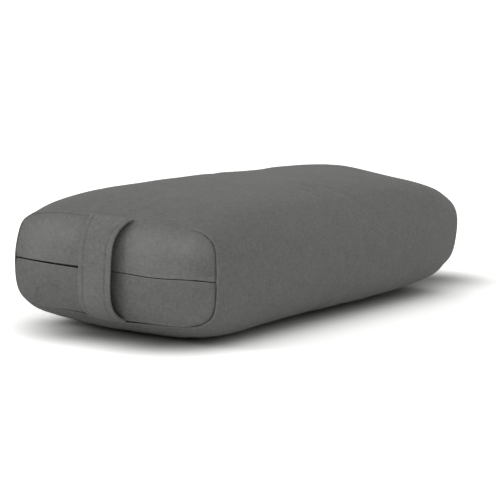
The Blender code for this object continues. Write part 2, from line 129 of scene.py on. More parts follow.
def ringAt(x, inset, floorInset, sides, tops):
    # y and z round the cushion, from the middle of its +Y side upwards
    halfWidth, top, bottom, *powers = outlineAt((x - middleX) / halfLength, inset, floorInset)
    halves = []
    for power in powers:
        cornerShare = 2 ** (-1 / power)
        quarter = []
        for step in range(sides):
            up = cornerShare * step / sides
            quarter.append(((1 - up ** power) ** (1 / power), up))
        for step in range(tops + 1):
            out = cornerShare * (1 - step / tops)
            quarter.append((out, (1 - out ** power) ** (1 / power)))
        halves.append(quarter + [(-out, up) for out, up in reversed(quarter[:-1])])
    whole = halves[0] + [(out, -up) for out, up in reversed(halves[1][1:-1])]
    middle, halfHeight = (top + bottom) / 2, (top - bottom) / 2
    return [(out * halfWidth, max(middle + up * halfHeight, floorInset)) for out, up in whole]


def gridMesh(columns, rows, place, clothAt):
    # a grid put in space by place(column, row), with its cloth coordinates in metres
    bm = bmesh.new()
    cloth = bm.loops.layers.uv.new("cloth")
    bmesh.ops.create_grid(bm, x_segments=columns, y_segments=rows, size=1)
    for face in bm.faces:
        for loop in face.loops:
            column = round((loop.vert.co.x + 1) / 2 * columns)
            row = round((loop.vert.co.y + 1) / 2 * rows)
            loop[cloth].uv = clothAt(column, row)
    for vert in bm.verts:
        column = round((vert.co.x + 1) / 2 * columns)
        row = round((vert.co.y + 1) / 2 * rows)
        vert.co = place(column, row)
    bmesh.ops.remove_doubles(bm, verts=bm.verts, dist=tiny)
    return bm


def faceOutward(bm, outward):
    bm.normal_update()
    facing = sum(outward(face.calc_center_median()).dot(face.normal) * face.calc_area()
                 for face in bm.faces)
    if facing < 0:
        bmesh.ops.reverse_faces(bm, faces=bm.faces)
    bm.normal_update()


def faceAlong(bm, side):
    faceOutward(bm, lambda point: Vector((side, 0, 0)))


def fromCore(point):
    return Vector((0, point.y, point.z - cushion["crownHeight"] / 2))


def tubeMesh(stations, inset, floorInset, sides, tops):
    count = 4 * (sides + tops)
    rings = [ringAt(x, inset, floorInset, sides, tops) for x in stations]
    middleRing = rings[len(rings) // 2]
    girth = [0.0]
    for index in range(count):
        girth.append(girth[-1] + math.dist(middleRing[index], middleRing[(index + 1) % count]))
    bm = gridMesh(len(stations) - 1, count,
                  lambda column, row: (stations[column], *rings[column][row % count]),
                  lambda column, row: (stations[column], girth[row]))
    faceOutward(bm, fromCore)
    return bm


settling = {
    "reach": 0.042,
    "upper": (0.085, 0.160),     # heights between which the upper spots take hold
    "lower": (0.070, 0.010),
    "upperSpots": (              # x, y and height of each swell or hollow
        (-0.230, 0.105, -0.0009),
        (-0.060, 0.075, 0.0014),
        (0.020, 0.072, 0.0013),
        (0.165, 0.082, -0.0024),
        (0.235, 0.000, 0.0049),
        (0.250, -0.065, -0.0041),
        (-0.280, 0.125, 0.0022),
    ),
    "lowerSpots": (
        (-0.265, -0.030, -0.0026),
        (-0.275, 0.095, 0.0020),
    ),
    "pushes": (                  # middle, reach and way of each push at the two ends' corners
        ((0.310, -0.132, 0.120), 0.020, (-0.0001, 0.0008, 0.0015)),
        ((0.310, -0.140, 0.055), 0.020, (-0.0003, 0.0021, 0.0017)),
        ((0.280, -0.130, 0.030), 0.025, (0.0000, -0.0009, -0.0026)),
        ((0.300, -0.115, 0.138), 0.022, (0.0000, 0.0000, -0.0005)),
        ((0.310, -0.138, 0.090), 0.020, (0.0002, -0.0013, -0.0005)),
        ((0.310, -0.125, 0.035), 0.016, (-0.0004, 0.0023, 0.0008)),
        ((-0.296, 0.140, 0.087), 0.014, (-0.0006, 0.0017, -0.0003)),
        ((-0.296, 0.138, 0.112), 0.014, (0.0006, -0.0014, 0.0017)),
        ((-0.296, 0.140, 0.062), 0.016, (-0.0002, 0.0010, 0.0008)),
        ((-0.290, 0.122, 0.025), 0.020, (-0.0002, 0.0000, -0.0028)),
        ((-0.265, 0.040, 0.005), 0.025, (-0.0003, 0.0002, -0.0022)),
        ((-0.296, -0.122, 0.130), 0.020, (0.0004, -0.0011, 0.0015)),
        ((-0.296, -0.132, 0.036), 0.020, (0.0000, -0.0005, -0.0018)),
        ((-0.296, -0.140, 0.105), 0.014, (-0.0003, 0.0013, 0.0003)),
        ((-0.296, 0.000, 0.018), 0.024, (0.0000, 0.0000, 0.0005)),
        ((-0.296, 0.045, 0.020), 0.024, (0.0003, 0.0000, 0.0031)),
        ((-0.296, -0.045, 0.018), 0.024, (0.0001, 0.0000, 0.0017)),
        ((-0.296, -0.100, 0.135), 0.020, (0.0001, -0.0004, -0.0006)),
    ),
    "pushCut": 4,                # reaches beyond which a push is left out
}


def settle(bm):
    # the filling has packed unevenly, so the cushion swells and sinks a little
    reach = settling["reach"]
    for vert in bm.verts:
        shift = Vector((0, 0, 0))
        for part in ("upper", "lower"):
            share = shareOf(vert.co.z, *settling[part])
            for x, y, height in settling[part + "Spots"]:
                shift.z += share * height * bump(vert.co.xy, (x, y), (reach, reach))
        for middle, pushReach, way in settling["pushes"]:
            if abs(vert.co.x - middle[0]) < settling["pushCut"] * pushReach:
                shift += Vector(way) * bump(vert.co, middle, (pushReach,) * 3)
        vert.co += shift


def endShape(seamX, side, inset, floorInset, bulge):
    halfWidth, top, bottom, power, _ = outlineAt((seamX - middleX) / halfLength, inset, floorInset)
    return {"seamX": seamX, "side": side, "bulge": bulge, "power": power, "halfWidth": halfWidth,
            "halfHeight": (top - bottom) / 2, "middle": (top + bottom) / 2,
            "arcRadius": (halfWidth ** 2 + bulge ** 2) / (2 * bulge)}


def endReach(end, y, z):
    # shares of the way to the end's outline: across, up and straight out
    across = min(abs(y) / end["halfWidth"], 1.0)
    up = min(abs(z - end["middle"]) / end["halfHeight"], 1.0)
    out = (across ** end["power"] + up ** end["power"]) ** (1 / end["power"])
    return across, up, min(out, 1.0)


def faceX(end, y, z):
    # where the end's face stands: an arc across it, fuller up and down
    across, up, out = endReach(end, y, z)
    arc = math.sqrt(end["arcRadius"] ** 2 - (out * end["halfWidth"]) ** 2)
    roundPart = arc - (end["arcRadius"] - end["bulge"])
    fullPart = end["bulge"] * (1 - out ** cushion["bulgePower"])
    uprightShare = up ** 2 / max(up ** 2 + across ** 2, tiny)
    return end["seamX"] + end["side"] * (roundPart + (fullPart - roundPart) * uprightShare)


def endEdge(end, share, upright):
    # a point of the end's outline, in shares of half its width and height
    near = 2 ** (-1 / end["power"]) * (2 * share - 1)
    far = (1 - abs(near) ** end["power"]) ** (1 / end["power"])
    return Vector((far, near)) if upright else Vector((near, far))


def endFlat(end, across, up):
    # y and z of a point of the end, blended from its four edges
    level, upright = endEdge(end, across, False), endEdge(end, up, True)
    corner = 2 ** (-1 / end["power"])
    y = level.x + upright.x * (2 * across - 1) - corner * (2 * across - 1)
    z = level.y * (2 * up - 1) + upright.y - corner * (2 * up - 1)
    return Vector((y * end["halfWidth"], end["middle"] + z * end["halfHeight"]))


def endMesh(end, acrossShares, upShares):
    def place(column, row):
        y, z = endFlat(end, acrossShares[column], upShares[row])
        onEdge = acrossShares[column] in (0.0, 1.0) or upShares[row] in (0.0, 1.0)
        return (end["seamX"] if onEdge else faceX(end, y, z), y, z)

    def clothAt(column, row):
        return tuple(endFlat(end, acrossShares[column], upShares[row]))

    bm = gridMesh(len(acrossShares) - 1, len(upShares) - 1, place, clothAt)
    faceAlong(bm, end["side"])
    return bm


def extrudeRim(bm, edges):
    # the new edges and vertices
    folded = bmesh.ops.extrude_edge_only(bm, edges=edges)["geom"]
    return ([item for item in folded if isinstance(item, bmesh.types.BMEdge)],
            [item for item in folded if isinstance(item, bmesh.types.BMVert)])


def newPiece(name, bm, material, body="bolster", angle=None):
    mesh = bpy.data.meshes.new(name)
    bm.to_mesh(mesh)
    bm.free()
    mesh.materials.append(material)
    mesh.shade_smooth()
    if angle:
        mesh.set_sharp_from_angle(angle=math.radians(angle))
    piece = bpy.data.objects.new(name, mesh)
    bpy.context.collection.objects.link(piece)
    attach(piece, body)
    return piece


def giveCloth(piece, thickness, levels, offset=-1, even=True):
    solid = piece.modifiers.new("cloth", "SOLIDIFY")
    solid.thickness = thickness
    solid.offset = offset
    solid.use_even_offset = even
    if levels:
        smooth = piece.modifiers.new("smooth", "SUBSURF")
        smooth.levels = smooth.render_levels = levels


def standsFor(piece, slot, *nodes):
    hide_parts(*nodes)


def newMaterial(name):
    # the last thing given back is the point's place on the object
    material = bpy.data.materials.new(name)
    material.use_nodes = True
    tree = material.node_tree
    place = addNode(tree, "ShaderNodeTexCoord").outputs["Object"]
    return material, tree, tree.nodes["Principled BSDF"], place


def addNode(tree, kind, inputs=None, **settings):
    node = tree.nodes.new(kind)
    for key, value in settings.items():
        setattr(node, key, value)
    for key, value in (inputs or {}).items():
        if isinstance(value, bpy.types.NodeSocket):
            tree.links.new(value, node.inputs[key])
        else:
            node.inputs[key].default_value = value
    return node


def addNoise(tree, place, size, stretch=(1, 1, 1), detail=2.0, rough=0.5):
    # noise whose blobs measure about size metres, drawn out by stretch
    scaled = addNode(tree, "ShaderNodeMapping", {"Vector": place,
                     "Scale": tuple(1 / (size * part) for part in stretch)})
    return addNode(tree, "ShaderNodeTexNoise", {"Vector": scaled.outputs[0], "Scale": 1.0,
                   "Detail": detail, "Roughness": rough}).outputs[0]


def addThreads(tree, cloth, width, way, shape):
    # rounded bands of the given width in metres, side by side along X or Y of the cloth
    scaled = addNode(tree, "ShaderNodeMapping", {"Vector": cloth, "Scale": (1000, 1000, 1000)})
    bandWidth = 0.000314     # of a Wave Texture at scale 1 on coordinates in millimetres
    wave = addNode(tree, "ShaderNodeTexWave", {"Vector": scaled.outputs[0],
                   "Scale": bandWidth / width, **shape}, bands_direction=way)
    return wave.outputs["Fac"]


def addUp(tree, parts, start=0.0):
    # start plus each part's weight times its distance from a half
    total = start - sum(weight / 2 for weight, socket in parts)
    last = None
    for weight, socket in parts:
        step = addNode(tree, "ShaderNodeMath", {0: socket, 1: weight,
                       2: last if last else total}, operation="MULTIPLY_ADD")
        last = step.outputs[0]
    return last


def blendColours(tree, factor, first, second):
    mixed = addNode(tree, "ShaderNodeMix", {0: factor, 6: (*first, 1), 7: (*second, 1)},
                    data_type="RGBA")
    return mixed.outputs[2]


def colourBy(tree, shader, tone, look):
    # from the darkest to the lightest thread of the look's colour
    dark, light = (tuple(part * (1 + way * look["spread"]) for part in look["colour"])
                   for way in (-1, 1))
    tree.links.new(blendColours(tree, tone, dark, light), shader.inputs["Base Color"])


def raiseBy(tree, shader, height, strength, distance):
    raised = addNode(tree, "ShaderNodeBump", {"Height": height, "Strength": strength,
                     "Distance": distance})
    tree.links.new(raised.outputs[0], shader.inputs["Normal"])


suede = {
    "colour": (0.161, 0.160, 0.1580),
    "spread": 0.50,          # how far the lightest and darkest fibres stand from the colour
    "roughness": 0.92,
    "specular": 0.2,
    "sheen": (0.05, 0.45),   # its weight and roughness
    "slub": 0.0011,          # width of one thread's streak
    "slubReach": 9.0,        # its length, in widths
    "fibre": 0.0005,
    "mottle": 0.0035,
    "cloud": 0.030,
    "tones": (0.5, 0.5, 0.4, 0.55, 0.18),      # of warp, weft, fibre, mottle and cloud
    "wearAndShadeWeight": 0.35,            # how much the seams' and patches' tone counts: wear, painted shade and painted highlight
    "weave": 0.0007,
    "weaveShape": {"Distortion": 0.6, "Detail": 1.0, "Detail Scale": 1.0},
    "heights": (0.16, 0.16, 0.5, 0.5, 0.5, 0.8),     # of weave, fibre, warp, weft and mottle
    "relief": (0.8, 0.00030),
}


def suedeMaterial(name, look):
    material, tree, shader, place = newMaterial(name)
    cloth = addNode(tree, "ShaderNodeUVMap", uv_map="cloth").outputs[0]
    reach = look["slubReach"]
    warp = addNoise(tree, cloth, look["slub"], (reach, 1, 1), 3)
    weft = addNoise(tree, cloth, look["slub"], (1, reach, 1), 3)
    fibre = addNoise(tree, place, look["fibre"], detail=3, rough=0.7)
    mottle = addNoise(tree, place, look["mottle"], detail=3, rough=0.6)
    cloud = addNoise(tree, place, look["cloud"], detail=2)
    # the per-vertex tone: real wear, and painted shade, shadow and highlight
    wearAndPaintedShade = addNode(tree, "ShaderNodeAttribute", attribute_name="wearAndPaintedShade").outputs["Fac"]
    parts = list(zip(look["tones"], (warp, weft, fibre, mottle, cloud)))
    tone = addUp(tree, parts + [(look["wearAndShadeWeight"], wearAndPaintedShade)], 0.5 + look["wearAndShadeWeight"] / 2)
    colourBy(tree, shader, tone, look)
    shader.inputs["Roughness"].default_value = look["roughness"]
    shader.inputs["Specular IOR Level"].default_value = look["specular"]
    shader.inputs["Sheen Weight"].default_value = look["sheen"][0]
    shader.inputs["Sheen Roughness"].default_value = look["sheen"][1]
    weave = [addThreads(tree, cloth, look["weave"], way, look["weaveShape"]) for way in ("X", "Y")]
    height = addUp(tree, list(zip(look["heights"], (*weave, fibre, warp, weft, mottle))), 0.5)
    raiseBy(tree, shader, height, *look["relief"])
    return material


tapeLook = {"colour": (0.030, 0.030, 0.031), "spread": 0.35, "thread": 0.0007, "roughness": 0.8}
cottonLook = {"colour": (0.700, 0.660, 0.580), "spread": 0.08, "thread": 0.0006,
              "roughness": 0.95}
weaveLook = {"patch": 0.02, "tones": (0.6, 0.5), "sheen": 0.15, "relief": (0.7, 0.0002)}


def wovenMaterial(name, look):
    # plain weave: two sets of rounded threads, one over the other by turns
    material, tree, shader, place = newMaterial(name)
    cloth = addNode(tree, "ShaderNodeUVMap", uv_map="cloth").outputs[0]
    warp, weft = [addThreads(tree, cloth, look["thread"], way, {"Distortion": 0.3})
                  for way in ("X", "Y")]
    check = addNode(tree, "ShaderNodeMath", {0: warp, 1: weft}, operation="MAXIMUM").outputs[0]
    patch = addNoise(tree, place, weaveLook["patch"], detail=3)
    tone = addUp(tree, list(zip(weaveLook["tones"], (check, patch))), 0.5)
    colourBy(tree, shader, tone, look)
    shader.inputs["Roughness"].default_value = look["roughness"]
    shader.inputs["Sheen Weight"].default_value = weaveLook["sheen"]
    raiseBy(tree, shader, check, *weaveLook["relief"])
    return material


fillLook = {
    "batting": (0.800, 0.770, 0.700),
    "core": (0.620, 0.590, 0.530),
    "shade": 0.82,           # what the darkest tuft keeps of the colour
    "tuft": 0.012,
    "seed": 0.0016,
    "seedShare": (0.70, 0.78),
    "tones": (0.9, 0.5),
    "relief": (1.0, 0.002),
}


def fillMaterial(name, colour):
    # carded cotton: soft tufts with darker flecks of seed
    material, tree, shader, place = newMaterial(name)
    tuft = addNoise(tree, place, fillLook["tuft"], (2, 2, 0.5), 5, 0.7)
    fleck = addNoise(tree, place, fillLook["seed"], detail=1)
    low, high = fillLook["seedShare"]
    seed = addNode(tree, "ShaderNodeMapRange", {"Value": fleck, "From Min": low, "From Max": high})
    tone = addUp(tree, list(zip(fillLook["tones"], (tuft, seed.outputs[0]))), 0.75)
    dark = tuple(part * fillLook["shade"] for part in colour)
    tree.links.new(blendColours(tree, tone, colour, dark), shader.inputs["Base Color"])
    shader.inputs["Roughness"].default_value = 1.0
    raiseBy(tree, shader, tuft, *fillLook["relief"])
    return material


metalLook = {
    "colour": (0.110, 0.110, 0.115),
    "rub": (0.22, 0.22, 0.225),
    "rubShare": (0.52, 0.80),
    "rubSize": 0.0018,
    "metallic": 0.9,
    "roughness": 0.34,
    "grain": (0.18, 0.0004),     # how much the roughness varies, and over what length
}


def metalMaterial(name, look):
    # dark plated zinc, rubbed lighter in patches
    material, tree, shader, place = newMaterial(name)
    rub = addNoise(tree, place, look["rubSize"], detail=4, rough=0.7)
    low, high = look["rubShare"]
    lifted = addNode(tree, "ShaderNodeMapRange", {"Value": rub, "From Min": low, "From Max": high})
    tree.links.new(blendColours(tree, lifted.outputs[0], look["colour"], look["rub"]),
                   shader.inputs["Base Color"])
    shader.inputs["Metallic"].default_value = look["metallic"]
    change, size = look["grain"]
    grain = addNoise(tree, place, size, (6, 1, 1), 2)
    tree.links.new(addUp(tree, [(change, grain)], look["roughness"]), shader.inputs["Roughness"])
    return material


nylonLook = {"colours": ((0.014, 0.014, 0.015), (0.030, 0.030, 0.031)), "size": 0.004,
             "stretch": (1, 1, 1), "roughness": 0.38, "sheen": 0.0}
threadLook = {"colours": ((0.085, 0.085, 0.083), (0.17, 0.17, 0.165)), "size": 0.0003,
              "stretch": (1, 1, 3), "roughness": 0.6, "sheen": 0.2}


def fibreMaterial(name, look):
    material, tree, shader, place = newMaterial(name)
    haze = addNoise(tree, place, look["size"], look["stretch"], 2)
    tree.links.new(blendColours(tree, haze, *look["colours"]), shader.inputs["Base Color"])
    shader.inputs["Roughness"].default_value = look["roughness"]
    shader.inputs["Sheen Weight"].default_value = look["sheen"]
    return material


coverSuede = suedeMaterial("suede_cover", suede)
handleSuede = suedeMaterial("suede_handle", {**suede, "wearAndShadeWeight": 0.45,
                                             "colour": (0.184, 0.183, 0.180)})
tapeCloth = wovenMaterial("binding_tape_weave", tapeLook)
zipCloth = wovenMaterial("zip_tape_weave", {**tapeLook, "thread": 0.0005})
cottonCloth = wovenMaterial("liner_weave", cottonLook)
battingFill = fillMaterial("carded_cotton", fillLook["batting"])
coreFill = fillMaterial("pressed_cotton", fillLook["core"])
darkMetal = metalMaterial("plated_zinc", metalLook)
blackNylon = fibreMaterial("coil_nylon", nylonLook)
greyThread = fibreMaterial("sewing_thread", threadLook)

# The zip's line is the arc that the CAD part's slider turns on
zipArc = {
    "centreX": 0.315393,
    "height": 0.078462,
    "radius": 0.626393,
}

# The cover is simulated as cloth under slight pressure, then given its seams
folding = {
    "quality": 5,
    "mass": 0.35,
    "stretch": 20,
    "shear": 10,
    "bend": 1.5,
    "pressure": 4.0,
    "growth": -0.016,        # the cut is this much bigger than the outline it is sewn to
    "frames": 20,
    "smoothing": 24,         # turns that part the broad swell from the folds
    "cap": 0.0016,
}


def broadSwell(piece, swell):
    # each vertex takes on half of its neighbours' mean, turn after turn
    ends = numpy.array([edge.vertices[:] for edge in piece.data.edges])
    count = numpy.bincount(ends.ravel(), minlength=len(swell))
    broad = swell.copy()
    for _ in range(folding["smoothing"]):
        total = numpy.bincount(ends[:, 0], broad[ends[:, 1]], len(swell))
        total += numpy.bincount(ends[:, 1], broad[ends[:, 0]], len(swell))
        broad = 0.5 * broad + 0.5 * total / count
    return broad


def simulateFolds(piece, heldVerts, share):
    # Cloth lets the oversize cut swell between its held seams; only its folds are kept
    base = numpy.array([vert.co[:] for vert in piece.data.vertices])
    normals = numpy.array([vert.normal[:] for vert in piece.data.vertices])
    held = piece.vertex_groups.new(name="held")
    held.add(heldVerts, 1.0, "REPLACE")
    cloth = piece.modifiers.new("cloth", "CLOTH")
    settings = cloth.settings
    settings.quality = folding["quality"]
    settings.mass = folding["mass"]
    settings.tension_stiffness = settings.compression_stiffness = folding["stretch"]
    settings.shear_stiffness = folding["shear"]
    settings.bending_stiffness = folding["bend"]
    settings.vertex_group_mass = "held"
    settings.use_pressure = True
    settings.uniform_pressure_force = folding["pressure"]
    settings.shrink_min = folding["growth"]
    settings.effector_weights.gravity = 0
    cloth.point_cache.frame_start = 1
    cloth.point_cache.frame_end = folding["frames"]
    for step in range(1, folding["frames"] + 1):
        bpy.context.scene.frame_set(step)
    blown = piece.evaluated_get(bpy.context.evaluated_depsgraph_get())
    shift = numpy.array([vert.co[:] for vert in blown.to_mesh().vertices]) - base
    blown.to_mesh_clear()
    piece.modifiers.remove(cloth)
    piece.vertex_groups.remove(held)
    bpy.context.scene.frame_set(1)
    swell = (shift * normals).sum(axis=1)
    folds = (swell - broadSwell(piece, swell)) * share
    print("  swell mm", round(swell.min() * 1000, 1), round(swell.max() * 1000, 1),
          "folds mm", round(folds.min() * 1000, 2), round(folds.max() * 1000, 2))
    folds = numpy.clip(folds, -folding["cap"] / 2, folding["cap"])
    for vert, fold, normal in zip(piece.data.vertices, folds, normals):
        vert.co += Vector(normal * fold)


relief = {
    "wrap": ((0.0009, 0.10), (0.00035, 0.035)),     # height and size of each layer of soft dents
    "end": ((0.0008, 0.060), (0.00040, 0.022)),
    "seeds": {"wrap": 3.0, "front": 11.0, "rear": 19.0},
    "seamFade": 0.020,
    "floorFade": 0.020,
    "least": 0.15,
}


def softDents(bm, layers, seed, seams):
    # shallow dents and swells; they die out at the seams and where the cushion rests
    bm.normal_update()
    moves = {}
    for vert in bm.verts:
        shift = sum(height * noise.noise(vert.co / size + Vector((seed, seed * 2, 7)))
                    for height, size in layers)
        nearest = min(abs(vert.co.x - seamX) for seamX in seams)
        calm = min(nearest / relief["seamFade"], 1.0) * min(vert.co.z / relief["floorFade"], 1.0)
        moves[vert] = vert.normal * shift * max(calm, relief["least"])
    for vert, move in moves.items():
        vert.co += move


seam = {
    "rings": (0.0009, 0.0014, 0.0024),         # widths of the rows added along each seam
    "pull": (0.0006, 0.00018, 0.0),            # how deep the seam draws each row in
    "tone": (-1.2, 0.90, 0.30, 0.05),          # painted shade in the seam, lighter beside it as wear and a painted highlight
    "plain": (-0.100, -0.118),                 # y between which the handle end's seam comes to show
    "farSide": 0.02,                           # y where the handle hides the change to its far side
    "faint": {"beside": 0.05, "farSide": 0.50, "below": 0.10},     # how much shows elsewhere
    "fill": (0.0005, 0.0014),                  # where it is faint the panel lies flush: lift, reach
    "drawn": 0.0007,                           # and its edge is drawn out against the wrap's
}


def seamShow(y, z):
    # the handle end's seam shows at its -Y corners and is nearly lost beside the handle
    part = "below" if z < zipArc["height"] else "farSide" if y > seam["farSide"] else "beside"
    least = seam["faint"][part]
    return least + (1 - least) * shareOf(y, *seam["plain"])


def ringDepths(bm):
    # how many rows each vertex lies from the open edges
    depths = {vert: 0 for vert in bm.verts if vert.is_boundary}
    row = list(depths)
    for depth in range(1, len(seam["tone"]) + 1):
        row = {edge.other_vert(vert) for vert in row for edge in vert.link_edges} - set(depths)
        depths.update((vert, depth) for vert in row)
    return depths


def addSeamRings(bm):
    faces = bm.faces[:]
    for width in seam["rings"]:
        bmesh.ops.inset_region(bm, faces=faces, use_boundary=True, use_even_offset=False,
                               thickness=width)
    tone = bm.verts.layers.float.new("wearAndPaintedShade")
    depths = ringDepths(bm)
    for vert, depth in depths.items():
        if depth < len(seam["tone"]):
            # painted shade in the seam and a painted highlight beside it
            vert[tone] = seam["tone"][depth] * seamShow(vert.co.y, vert.co.z)
    return depths


closing = {
    "strip": (0.005, 0.040),     # the faces it lies in: how near the middle, how low
    "rows": ((0.0, -1.3, 0.0008), (0.0009, 0.25, 0.0), (0.0030, 0.10, 0.0)),     # y, tone, depth
    "near": 0.0002,
}


def closingSeam(bm):
    # the seam that closes the wrap, along the middle of the underside
    tone = bm.verts.layers.float["wearAndPaintedShade"]
    nearness, height = closing["strip"]
    strip = [face for face in bm.faces if face.calc_center_median().z < height
             and abs(face.calc_center_median().y) < nearness]
    for y, _, _ in closing["rows"][1:]:
        for place in (-y, y):
            edges = {edge for face in strip for edge in face.edges}
            verts = {vert for face in strip for vert in face.verts}
            cut = bmesh.ops.bisect_plane(bm, geom=[*verts, *edges, *strip], plane_co=(0, place, 0),
                                         plane_no=(0, 1, 0))
            strip = [item for item in cut["geom"] if isinstance(item, bmesh.types.BMFace)]
    for vert in {vert for face in strip for vert in face.verts}:
        for y, shade, depth in closing["rows"]:
            if abs(abs(vert.co.y) - y) < closing["near"]:
                vert[tone] = shade
                vert.co.z += depth


cover = {
    "sides": 10,
    "tops": 20,
    "columns": 84,
    "cloth": 0.0009,
    "lap": 0.0006,           # how far the wrap's edge stands over the panels'
    "folds": 0.45,           # share of the simulated folds that is kept
    "creases": (             # middle, reach and height of puckers beside the handle end's seam
        ((-0.288, -0.1400, 0.0790), (0.011, 0.0030, 0.0030), -0.0013),
        ((-0.284, -0.1400, 0.0860), (0.010, 0.0035, 0.0035), 0.0009),
        ((-0.284, -0.1400, 0.0715), (0.010, 0.0035, 0.0035), 0.0009),
        ((-0.286, -0.1260, 0.0350), (0.011, 0.0030, 0.0030), -0.0014),
        ((-0.284, -0.1330, 0.0430), (0.011, 0.0035, 0.0035), 0.0009),
        ((-0.286, -0.1150, 0.0280), (0.009, 0.0035, 0.0035), 0.0008),
    ),
    "creaseCut": 3,          # reaches beyond which a pucker is left out
}


def wrapPiece():
    print("cover wrap")
    stations = spread(cushion["frontSeam"], cushion["rearSeam"], cover["columns"])
    stations[0] -= cover["lap"]
    stations[-1] += cover["lap"]
    bm = tubeMesh(stations, 0.0, 0.0, cover["sides"], cover["tops"])
    piece = newPiece("coverWrap", bm, coverSuede)
    ends = [vert.index for vert in piece.data.vertices
            if abs(vert.co.x - middleX) > halfLength - tiny]
    simulateFolds(piece, ends, cover["folds"])
    bm = bmesh.new()
    bm.from_mesh(piece.data)
    softDents(bm, relief["wrap"], relief["seeds"]["wrap"],
              (cushion["frontSeam"], cushion["rearSeam"]))
    depths = addSeamRings(bm)
    bm.normal_update()
    moves = {vert: -seam["pull"][depth] * seamShow(vert.co.y, vert.co.z)
             for vert, depth in depths.items() if depth < len(seam["pull"])}
    for vert in bm.verts:
        for middle, reaches, height in cover["creases"]:
            if abs(vert.co.x - middle[0]) < cover["creaseCut"] * reaches[0]:
                moves[vert] = moves.get(vert, 0.0) + height * bump(vert.co, middle, reaches)
    for vert, move in moves.items():
        vert.co += vert.normal * move
    closingSeam(bm)
    settle(bm)
    for vert in bm.verts:
        vert.co.z = max(vert.co.z, 0.0)
    bm.to_mesh(piece.data)
    bm.free()
    giveCloth(piece, cover["cloth"], 1)
    standsFor(piece, "cover_suede", "cover_wrap")


# The slit between the end panels' lips keeps clear of the rigid slider and its pull
slit = {
    "opening": (-0.004, 0.016),   # y between which it opens, behind the handle
    "closed": 0.0006,
    "parted": 0.0026,
    "farParted": 0.0013,
    "narrowing": (0.03, 0.13),
    "held": (-0.117, 0.006, 0.0005),          # y, reach, width: the slider ends its run here
    "sag": (-0.010, -0.062, -0.064, -0.116, -0.0019),     # y: start, full, full, end; depth
    "stretched": 0.5,             # share of the panel's half height that gives way
    "lipTurn": 0.0022,
    "lipLift": 0.0003,
    "lipRoll": (0.0007, 0.0006),  # how far its edge rolls in, over what reach
    "lipHighlightAndShade": {-1: 1.0, 1: -0.4},    # the lower lip's edge gets a painted highlight, the upper a painted shade
    "lipHighlightReach": 0.0012,
    "fadePower": 10,              # how late the lips close up towards the seam
    "cornerGap": 0.0001,
    "cornerShare": 0.9,
    "pullRadius": 0.62666,        # the cloth stays inside this radius where the pull passes
    "pullHalf": 0.0034,
    "pullSlope": 0.35,
}


def halfSlit(y):
    parted = slit["parted"] + (slit["farParted"] - slit["parted"]) * shareOf(y, *slit["narrowing"])
    middle, reach, wider = slit["held"]
    held = wider * bell((y - middle) / reach)
    opened = (parted - slit["closed"]) * easedShare(y, *slit["opening"])
    return (slit["closed"] + opened + held) / 2


def lineZ(y, share=1.0):
    start, full, late, end, depth = slit["sag"]
    sag = depth * easedShare(y, start, full) * (1 - easedShare(y, late, end))
    return zipArc["height"] + sag * share


def slitZ(end, y, z, lip):
    # opens the rows out from the middle line by half the slit
    away = abs(z - end["middle"])
    room = end["halfHeight"] * slit["stretched"]
    if away >= room:
        return z
    half = halfSlit(y)
    return lineZ(y, 1 - away / room) + lip * (half + away * (1 - half / room))


def lipFade(end, y):
    return 1 - (abs(y) / end["halfWidth"]) ** slit["fadePower"]


def clearPull(bm):
    for vert in bm.verts:
        beyond = max(abs(vert.co.z - zipArc["height"]) - slit["pullHalf"], 0)
        limit = slit["pullRadius"] + slit["pullSlope"] * beyond
        over = math.hypot(zipArc["centreX"] - vert.co.x, vert.co.y) - limit
        if over > 0 and vert.co.x < cushion["frontSeam"]:
            vert.co.x += over


